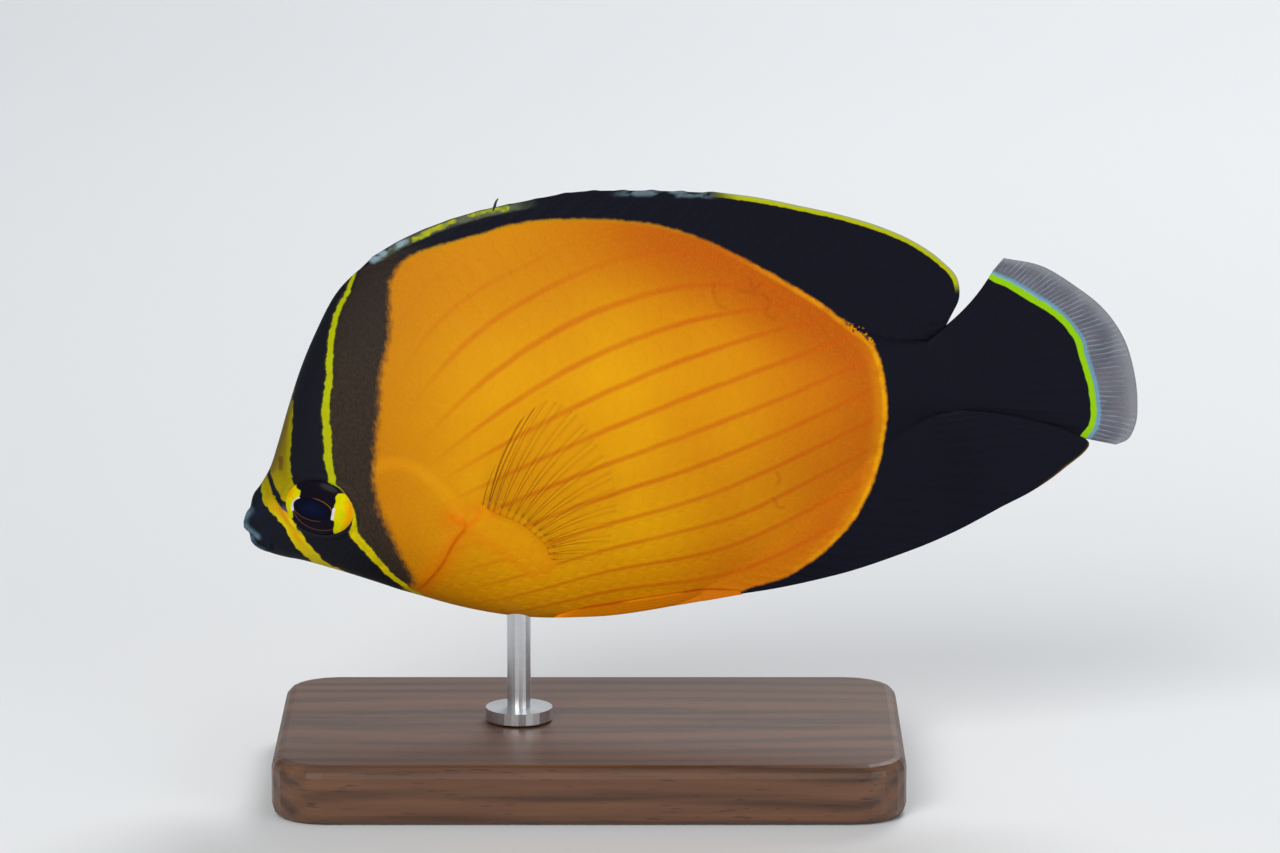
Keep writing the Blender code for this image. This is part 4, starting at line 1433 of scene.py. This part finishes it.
skin_tree = BVHTree.FromPolygons(skin_points.tolist(), skin_faces)
for name, side in (("left", -1), ("right", 1)):
    big = mail(
        name + "_flank_scales", BIG_ROOTS, BIG_FORM, side, sunk=0.05, rise=0.045, lip=0.06,
    )
    small = mail(
        name + "_small_scales", SMALL_ROOTS, SMALL_FORM, side, sunk=0.045, rise=0.035, lip=0.055,
    )

# %% [markdown]
# ## Paper-thin sheets with rays
#
# The clear border of the tail, the pectoral and the pelvic fins are fans too. Each is drawn as
# one sheet with a middle and half a thickness, which closes to nothing all round its edge, so
# it is a closed solid like everything else. Left and right fins come from the same function.


# %% Closed fans
def closing(*shares, width=0.03):
    """1 inside a fan and 0 on its edges, rounded in between."""
    return rounded(np.minimum.reduce([from_ends(share) for share in shares]), width)


def fan(name, places, middle, half, values, side=1):
    """A closed fin: a grid of (u, w) places, its middle's v, half its thickness and its marks."""
    sheets = Sheets()
    for face in (-1, 1):
        v = side * (middle + face * half)
        points = np.stack((places[..., 0], v, places[..., 1]), axis=-1)
        sheets.add(points, values, turned=face * side > 0)
    return make_piece(name, *sheets.weld())


def both_sides(kind, places, middle, half, values):
    """The left and the right fin of a kind, each in place of its solid."""
    for name, side in (("left", 1), ("right", -1)):
        fin = fan(name + "_" + kind, places, middle, half, values, side)
        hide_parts(kind + "_fin_" + name)


def grid_of(columns, rows):
    return np.meshgrid(np.linspace(0, 1, columns + 1), np.linspace(0, 1, rows + 1), indexing="ij")


# %% The tail's clear border
CAUDAL_MARGIN = line_through(
    (106.2, 13.8), (110.8, 11.7), (114.8, 8.0), (118.1, 3.9), (120.0, -0.6), (120.5, -5.2),
    (120.2, -9.4), (119.3, -12.6), (117.9, -14.3), (116.2, -14.6),
)
SUNK_INTO_TAIL = 0.06
BORDER_HALF = 0.09
BORDER_RAY_HEIGHT = 0.09

share, t = grid_of(256, 16)
inner = point_on(TAIL_EDGE, share)
outer = point_on(CAUDAL_MARGIN, share)
reach = (t * (1 + SUNK_INTO_TAIL) - SUNK_INTO_TAIL)[..., None]
ray = share * (TAIL_RAYS - 1)
half = BORDER_HALF * (1.1 - 0.6 * t) + ray_ridge(ray, 0.7 + 0.3 * t, BORDER_RAY_HEIGHT)
half = half * closing(share, t)
places = inner + (outer - inner) * reach
tail_border = fan("tail_border", places, np.zeros_like(t), half, {"ray": ray, "outward": t})
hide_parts("caudal_fin")

# %% [markdown]
# ## Pectoral fins
#
# A butterflyfish rows with its pectorals. Each is a fan of branched rays in a membrane as clear
# as glass, on a fleshy pad that grows out of the flank behind the gill cover. The fan stands a
# little off the body, further towards its tips.

# %% Pectoral fins
PECTORAL_RAYS = 15
PECTORAL_BASE = line_through((30.4, -4.4), (30.8, -6.8), (31.8, -9.6), (34.2, -12.4))
PECTORAL_ROOTS = line_through(
    (31.8, -3.1), (33.6, -4.9), (35.7, -6.3), (37.5, -8.3), (38.8, -10.5), (38.9, -12.3),
)
TIP_AT = Curve((0, 0), (0.07, 0.235), (0.15, 0.30), (0.3, 0.42), (0.6, 0.68), (1, 1))
PECTORAL_MARGIN = line_through(
    (34.3, 2.0), (40.7, 9.0), (43.7, 10.1), (46.1, 8.4), (48.4, 3.5), (49.7, -1.0), (49.6, -5.0),
    (48.3, -9.2), (46.5, -12.3), (44.4, -13.6),
)
PAD_SHARE = 0.22
PECTORAL_BOW = -0.09
STANDS_OFF = 0.22
MEMBRANE_HALF = 0.03
PECTORAL_RAY_HALF = 0.05
PAD_HALF = 0.3
PAD_RISE = 0.05
FOOT_SUNK = 0.24
FAN_LIFT = 0.45
ROOT_SWELLING = 0.012
PAIR_AT = 0.09
PAIR_APART = 0.08


def pectoral_places(share, t):
    """From the pad's foot to the rays' roots, then along bowed rays to the margin."""
    foot = point_on(PECTORAL_BASE, share)
    root = point_on(PECTORAL_ROOTS, share)
    tip = point_on(PECTORAL_MARGIN, TIP_AT(share))
    pad = np.clip(t / PAD_SHARE, 0, 1)[..., None]
    out = np.clip((t - PAD_SHARE) / (1 - PAD_SHARE), 0, 1)[..., None]
    on_ray = bowed(root, tip, out, PECTORAL_BOW)
    places = np.where(out > 0, on_ray, foot + (root - foot) * pad)
    from_root = np.linalg.norm(places - root, axis=-1) * (out[..., 0] > 0)
    return places, pad[..., 0], out[..., 0], from_root


share, t = grid_of((PECTORAL_RAYS - 1) * 16, 60)
places, pad, out, from_root = pectoral_places(share, t)
ray = share * (PECTORAL_RAYS - 1)
off = off_ray(ray)
pair = PAIR_AT + PAIR_APART * smooth_step(out / 0.5)
ridge = PECTORAL_RAY_HALF * bump(np.abs(off - pair), 0.07) * (1 - 0.6 * out)
domed = 1 - (2 * share - 1) ** 4
free = smooth_step(out / 0.2)
lift = (PAD_HALF * domed + PAD_RISE) * smooth_step(pad * 0.8) - PAD_HALF - FOOT_SUNK
lift = lift * (1 - free) + FAN_LIFT * free
half = PAD_HALF * (1 - free) + ROOT_SWELLING * bump(off, 0.2) * smooth_step(pad * 2 - 1)
half = (half + MEMBRANE_HALF + ridge * smooth_step(out / 0.05)) * closing(share, t)
middle = -skin_half(places[..., 0], places[..., 1]) - lift - STANDS_OFF * from_root
fan_marks = {"ray": ray, "outward": out, "pad": pad}
both_sides("pectoral", places, middle, half, fan_marks)

# %% Pelvic fins, folded along the belly
PELVIC_RAYS = 6
PELVIC_LOWER = line_through((37.6, -21.2), (45, -22.6), (54, -23.3), (63.2, -23.5))
PELVIC_UPPER = line_through(
    (38.2, -21.0), (41.2, -20.6), (46, -20.8), (54, -21.4), (58.5, -21.8), (62.6, -22.9),
)
PELVIC_HALF = 0.45
PELVIC_RAY_HEIGHT = 0.04
PELVIC_ROOT_SUNK = 0.75
PELVIC_ROOT = 0.35
PELVIC_SUNK = 0.12

share, t = grid_of(PELVIC_RAYS * 14, 110)
lower = point_on(PELVIC_LOWER, t)
places = lower + (point_on(PELVIC_UPPER, t) - lower) * share[..., None]
ray = share * (PELVIC_RAYS - 1)
half = PELVIC_HALF * (1 - 0.6 * t) + ray_ridge(ray, t, PELVIC_RAY_HEIGHT)
half = half * closing(share, t, width=0.1)
sunk = PELVIC_ROOT_SUNK * (1 - smooth_step(t / PELVIC_ROOT)) + PELVIC_SUNK
middle = -skin_half(places[..., 0], places[..., 1] + 0.7 - 0.5 * share) - PELVIC_HALF * (0.4 - sunk)
both_sides("pelvic", places, middle, half, {"ray": ray, "outward": t})

# %% [markdown]
# ## One spine's tip
#
# A folded back fin hides its spines, but the tip of one stands clear of the membrane. It is a
# fan too, only a very slim one: a curved thorn that tapers to a point.

# %% The thorn
THORN = line_through((40.7, 33.9), (41.2, 34.8), (41.6, 35.5), (41.9, 35.8), steps=20)
THORN_WIDTH = 0.42
ACROSS_THORN = (0.87, -0.5)

share, t = grid_of(16, 24)
width = THORN_WIDTH * np.sqrt(1 - 0.9 * t**2)
places = point_on(THORN, t) + ((share - 0.5) * width)[..., None] * ACROSS_THORN
half = 0.5 * width * closing(share, width=0.5) * closing(t, width=0.08)
thorn = fan("spine_tip", places, np.zeros_like(t), half, {"outward": t})

# %% [markdown]
# ## Fin finishes
#
# Clear membrane is mostly absence: a low alpha between the rays and a faint tint. The rays of
# the pectoral are dark and fade towards their tips. The tail's border is smoky, with fine pale
# streaks where its rays fork.


# %% Lines along the rays
def pair_lines(paint, spread, apart=PAIR_APART):
    """1 along the two branches of each ray and 0 between, forking as the ridges do."""
    ray = paint.mark("ray")
    fork = PAIR_AT + paint.mark("outward").step(0.0, 0.5) * apart
    return (abs(abs(ray - round(ray)) - fork) / spread).step(1.0, 0.3)


def twigs(paint, spread):
    """1 along the fine branches at a soft ray's end."""
    ray = paint.mark("ray") * 3.0 + (paint.noise(0.25, 2.0) - 0.5) * 0.8
    return (abs(ray - round(ray)) / spread).step(1.0, 0.2)


# %% Paint the tail's border
def border_paint():
    paint = Paint("tail_border", Roughness=0.35, Specular_IOR_Level=0.3)
    out = paint.mark("outward")
    streak = twigs(paint, 0.2) * (0.25 + paint.noise(0.3, 2.0).step(0.4, 0.65) * 0.75)
    seam = out.step(0.16, 0.05)
    tint = paint.coats(
        (50, 54, 70),
        (paint.noise(0.25).step(0.3, 0.7), (80, 78, 92)),
        (streak * 0.55, (150, 160, 182)),
        (seam * 0.8, (112, 156, 180)),
    )
    alpha = 0.72 + streak * 0.08 + seam * 0.26 - out.step(0.5, 1.0) * 0.2
    return paint.dry(Base_Color=tint, Alpha=alpha)


wear(border_paint(), "tail_border")


# %% Paint the pectoral fins
def pectoral_paint():
    paint = Paint("pectoral_fin", Roughness=0.5, Specular_IOR_Level=0.08)
    out = paint.mark("outward")
    ray = paint.mark("ray")
    on_pad = paint.mark("pad")
    flesh = out.step(0.034, 0.02)
    lead = ray.step(3.0, 0.6)
    line = pair_lines(paint, 0.055 + out * 0.03 + lead * 0.03)
    line = paint.maths("MAXIMUM", line, pair_lines(paint, 0.05, 0.2) * out.step(0.3, 0.6) * 0.6)
    glint = lead * out.step(0.35, 0.1) * paint.noise(1.4).step(0.5, 0.62)
    dark = paint.coats(
        (160, 86, 0),
        (lead, (104, 38, 0)),
        (out.step(0.2, 0.02) * 0.7, (124, 50, 0)),
        (glint * 0.6, (116, 112, 122)),
    )
    pad = paint.coats(
        (212, 146, 2),
        (paint.noise(0.5).step(0.35, 0.65), (210, 142, 1)),
        (on_pad.step(0.8, 1.0) * 0.3, (206, 116, 0)),
        (ray.step(4.5, 0.0) * on_pad.step(0.75, 1.0) * 0.5, (214, 92, 0)),
    )
    tint = paint.coats((214, 146, 4), (line, dark), (flesh, pad))
    fading = 1 - out.step(0.1, 0.35) * (0.2 - lead * 0.2)
    fading = fading * (1 - out.step(0.15, 0.75) * (0.84 - lead * 0.3))
    alpha = paint.maths("MAXIMUM", flesh, 0.015 + line * out.step(0.0, 0.03) * fading * 0.8)
    return paint.dry(Base_Color=tint, Alpha=alpha)


wear(pectoral_paint(), "left_pectoral", "right_pectoral")


# %% Paint the pelvic fins and the thorn
def pelvic_paint():
    paint = Paint("pelvic_fin", Roughness=0.55, Specular_IOR_Level=0.08)
    out = paint.mark("outward")
    shown = out.step(0.1, 0.15) * out.step(0.42, 0.34) + out.step(0.66, 0.72) * out.step(0.96, 0.9)
    tint = paint.coats(
        (208, 126, 0),
        (paint.noise(0.3), (204, 116, 0)),
        (out.step(0.3, 0.8) * 0.6, (186, 98, 0)),
        (paint.mark("ray").step(4.1, 4.8) * shown * 0.7, (150, 40, 0)),
        (pair_lines(paint, 0.12) * 0.15, (190, 84, 0)),
    )
    return paint.dry(Base_Color=tint, Normal=paint.bumps(paint.noise(4.0), 0.2, FINE_RELIEF))


def thorn_paint():
    paint = Paint("spine_tip", Roughness=0.4, Specular_IOR_Level=0.2)
    tint = paint.coats(
        (24, 28, 32), (paint.mark("outward"), (40, 58, 62)), (paint.noise(3.0) * 0.5, (14, 16, 22)),
    )
    return paint.dry(Base_Color=tint)


wear(pelvic_paint(), "left_pelvic", "right_pelvic")
wear(thorn_paint(), "spine_tip")

# %% [markdown]
# ## Eyes
#
# The black band runs straight across the eye, which hides where the fish looks. So the iris is
# black above and below the pupil, with a yellow patch in front and behind, and the pupil is a
# flat oval as blue as deep water. The ball is a low dome that follows the head's own surface,
# its edge tucked under the fleshy rim.

# %% Two eyes
BALL_LONG = 4.72
BALL_HIGH = 3.8
BALL_RISE = 1.2
BALL_SUNK = -0.42
BALL_ROUNDNESS = 1.04
BALL_DEPTH = 1.6
PUPIL_CENTRE = (-0.9, -0.25)
PUPIL_SIZE = (2.65, 1.5)
FRONT_PATCH = line_through(
    (-3.7, 2.8), (-3.39, 1.92), (-2.88, 1.77), (-2.91, 0.87), (-3.56, -0.21), (-3.5, -1.2),
    (-3.29, -2.22), (-6, -3), (-7, 0), (-6, 3),
)
REAR_PATCH = line_through(
    (2.1, 2.68), (1.88, 2.04), (2.0, 1.67), (1.91, 0.86), (1.9, -0.2), (1.91, -0.94),
    (2.26, -1.26), (2.39, -2.76), (6, -3.5), (7, 0), (6, 3.5),
)
FRONT_WHITE = line_through((-2.95, 0.75), (-3.56, -0.21), (-3.5, -1.1), steps=20)
REAR_WHITE = line_through((1.93, 0.5), (1.9, -0.2), (1.93, -0.9), steps=20)

angle, ring = grid_of(160, 56)
angle = 2 * math.pi * angle
along = BALL_LONG * ring * np.cos(angle)
across = BALL_HIGH * ring * np.sin(angle)
ball_u = EYE_CENTRE[0] + along * math.cos(EYE_DIP) + across * math.sin(EYE_DIP)
ball_w = EYE_CENTRE[1] - along * math.sin(EYE_DIP) + across * math.cos(EYE_DIP)
dome = BALL_SUNK + BALL_RISE * np.sqrt(1 - (ring / BALL_ROUNDNESS) ** 2)
hollow = dome[:, -1:] - BALL_DEPTH * np.sqrt(1 - ring**2)
flat = np.stack((along.ravel(), across.ravel()), axis=1)
pupil_along = (along - PUPIL_CENTRE[0]) / PUPIL_SIZE[0]
pupil_across = (across - PUPIL_CENTRE[1]) / PUPIL_SIZE[1]
eye_marks = {
    "pupil": np.hypot(pupil_along, pupil_across),
    "front_patch": depth_in(FRONT_PATCH, flat).reshape(ring.shape),
    "rear_patch": depth_in(REAR_PATCH, flat).reshape(ring.shape),
    "white": nearest([FRONT_WHITE, REAR_WHITE], flat).reshape(ring.shape),
    "ring": ring, "along": along, "across": across,
}
for name, side in (("left", -1), ("right", 1)):
    ball = Sheets()
    for layer, turned in ((dome, side > 0), (hollow, side < 0)):
        v = side * (skin_half(ball_u, ball_w) + layer)
        ball.add(np.stack((ball_u, v, ball_w), axis=-1), eye_marks, turned=turned)
    eye = make_piece(name + "_eye", *ball.weld())
    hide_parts("eye_" + name)


# %% Paint the eyes
def eye_paint():
    paint = Paint("wet_eye", Roughness=0.18, Specular_IOR_Level=0.035)
    pupil, ring, along, across = map(paint.mark, ("pupil", "ring", "along", "across"))
    jagged = (paint.noise(1.6, 3.0) - 0.5) * 0.5
    arcs = abs(ring - 0.78).step(0.03, 0.0) * across.step(0.4, -1.2)
    iris = paint.coats(
        (8, 7, 13), (paint.noise(2.5, 4.0), (24, 19, 30)), (arcs * 0.45, (116, 76, 66)),
    )
    front_warm = (along * -1.0 + jagged).step(3.4, 4.3) * across.step(-0.4, 1.2)
    yellow = paint.coats(
        (214, 196, 0),
        (paint.noise(0.9, 3.0).step(0.35, 0.65), (190, 196, 0)),
        (((along + jagged).step(2.9, 4.2) + front_warm) * 0.8, (226, 134, 0)),
        (paint.noise(5.0, 2.0).step(0.45, 0.7) * 0.3, (150, 140, 0)),
    )
    slant = along + across * 1.4
    gold = abs(pupil - 1.03).step(0.035, 0.0)
    gold = gold * (slant.step(0.4, 1.6) + slant.step(-1.2, -2.6) * 0.5)
    deep = paint.mix(pupil.step(0.1, 1.0), (8, 15, 44), (6, 8, 22))
    body = paint.coats(
        iris,
        ((paint.mark("front_patch") + jagged * 0.4).step(-0.08, 0.1), yellow),
        ((paint.mark("rear_patch") + jagged * 0.4).step(-0.08, 0.1), yellow),
        (paint.mark("white").step(0.24, 0.1), (206, 204, 216)),
        (gold * 0.7, (184, 112, 44)),
        (pupil.step(1.02, 0.96), deep),
        (ring.step(0.93, 0.99) * along.step(2.0, 3.6) * 0.7, (236, 170, 60)),
    )
    return paint.dry(Base_Color=body)


wear(eye_paint(), "left_eye", "right_eye")

# %% [markdown]
# ## The stand's finishes
#
# Base and rod keep the shape of their solids, so only their finish is made here. Oiled walnut is
# read from its growth rings, cut lengthwise into arches, and from short dark pores along the
# grain. The rod is brushed steel: its gloss is broken by fine streaks.


# %% Walnut and steel
PITH_BELOW = 17.0


class SolidPaint(Paint):
    """Paint for solids with no marks: places come from the object itself, in millimetres."""

    def place(self, stretch=(1, 1, 1)):
        here = self.node("ShaderNodeTexCoord", output="Object")
        return self.vectors("MULTIPLY", here, tuple(x / MM for x in stretch))


def walnut():
    paint = SolidPaint("walnut", Specular_IOR_Level=0.4, Coat_Weight=0.12, Coat_Roughness=0.25)
    here = paint.vectors("ADD", paint.place((0.16, 1.0, 1.0)), (0, 0, PITH_BELOW))
    from_pith = paint.vectors("LENGTH", here, output="Value")
    rings = from_pith * 2.6 + paint.noise(0.05, 3.0, (0.2, 1, 1)) * 9.0
    rings = paint.maths("SINE", rings) * 0.5 + 0.5
    streak = paint.noise(0.6, 5.0, (0.05, 1, 1))
    pores = paint.noise(2.6, 2.0, (0.09, 1, 1)).step(0.62, 0.7)
    wood = paint.coats(
        (92, 60, 40),
        (rings.step(0.2, 0.95), (64, 40, 27)),
        (streak.step(0.35, 0.7) * 0.6, (112, 76, 52)),
        (pores * 0.55, (34, 21, 15)),
    )
    relief = paint.bumps(1 - pores, 0.25, FINE_RELIEF)
    return paint.dry(Base_Color=wood, Roughness=0.36 + streak * 0.2, Normal=relief)


def brushed_steel():
    paint = SolidPaint("brushed_steel", Metallic=1.0)
    brushed = paint.noise(7.0, 3.0, (0.03, 0.03, 1))
    tone = paint.mix(brushed, (196, 198, 201), (216, 218, 220))
    relief = paint.bumps(brushed, 0.08, FINE_RELIEF / 2)
    return paint.dry(Base_Color=tone, Roughness=0.24 + brushed * 0.16, Normal=relief)


for node, material in (("stand_base", walnut()), ("stand_rod", brushed_steel())):
    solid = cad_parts[node]
    solid.data.materials.clear()
    solid.data.materials.append(material)
print("stand is", [round(1000 * x) for x in np.subtract(*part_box("stand_base")[::-1])], "mm")

# %% [markdown]
# ## Stage, light and camera
#
# A pale sweep, a broad soft light from the upper left, a weaker one from the right and one from
# behind show form without hard shadows. The camera looks 12 degrees down on the fish's left side
# through a long lens, as far away as the photo's framing asks.

# %% The sweep
SWEEP_REACH = 6.0
SWEEP_START = 0.6
SWEEP_RADIUS = 0.9
SWEEP_TOP = 5.0


def pale_sweep():
    """A floor that curves up into a wall far behind."""
    turn = np.linspace(0, math.pi / 2, 24)
    depth = SWEEP_START + SWEEP_RADIUS * np.sin(turn)
    height = SWEEP_RADIUS * (1 - np.cos(turn))
    profile = [(-SWEEP_REACH, 0.0), *zip(depth, height), (depth[-1], SWEEP_TOP)]
    points = [(x, y, z) for y, z in profile for x in (-SWEEP_REACH, SWEEP_REACH)]
    faces = [(2 * i, 2 * i + 1, 2 * i + 3, 2 * i + 2) for i in range(len(profile) - 1)]
    mesh = bpy.data.meshes.new("sweep")
    mesh.from_pydata(points, [], faces)
    mesh.shade_smooth()
    mesh.materials.append(Paint("pale_sweep", Roughness=0.7).dry(Base_Color=colour(222, 224, 226)))
    show("sweep", mesh)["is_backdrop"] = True


pale_sweep()

# %% Lights
VIEW_CENTRE = (0.00674, 0.0, 0.0485)
SKY_COLOUR = (0.85, 0.88, 0.92, 1)
SKY_STRENGTH = 0.4


def soft_light(name, place, size, power, tint=(1, 1, 1)):
    lamp = bpy.data.lights.new(name, "AREA")
    lamp.shape = "DISK"
    lamp.size = size
    lamp.energy = power
    lamp.color = tint
    light = show(name, lamp)
    light.location = place
    towards = Vector(VIEW_CENTRE) - Vector(place)
    light.rotation_euler = towards.to_track_quat("-Z", "Y").to_euler()


soft_light("key", (-0.36, -0.86, 0.66), size=0.6, power=8.1, tint=(1.0, 0.98, 0.95))
soft_light("fill", (0.75, -0.75, 0.2), size=0.7, power=3.5, tint=(0.95, 0.98, 1.0))
soft_light("rim", (0.3, 0.7, 0.8), size=0.5, power=6.0)
world = bpy.data.worlds.new("studio")
world.use_nodes = True
background = world.node_tree.nodes["Background"]
background.inputs["Color"].default_value = SKY_COLOUR
background.inputs["Strength"].default_value = SKY_STRENGTH
bpy.context.scene.world = world
print("lit by", len(bpy.data.lights), "lights and a pale sky")

# %% Camera
SHOWN_WIDTH = 0.1711
CAMERA_DROP = math.radians(12)
LENS = 180.0
SENSOR = 36.0

lens = bpy.data.cameras.new("camera")
lens.lens = LENS
lens.sensor_width = SENSOR
lens.clip_start = 0.01
camera = show("camera", lens)
far = SHOWN_WIDTH * LENS / SENSOR
away = Vector((0, -math.cos(CAMERA_DROP), math.sin(CAMERA_DROP)))
camera.location = Vector(VIEW_CENTRE) + far * away
camera.rotation_euler = (math.pi / 2 - CAMERA_DROP, 0, 0)
bpy.context.scene.camera = camera
bpy.context.scene.view_settings.view_transform = "Standard"
print("camera stands", round(far, 3), "m away")

# %% Note the sizes and finish
visual_box = [[float(x) for x in corner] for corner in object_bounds()]
{"cad": cad_box, "visual": visual_box}
print("dressed model reaches from", visual_box[0], "to", visual_box[1])
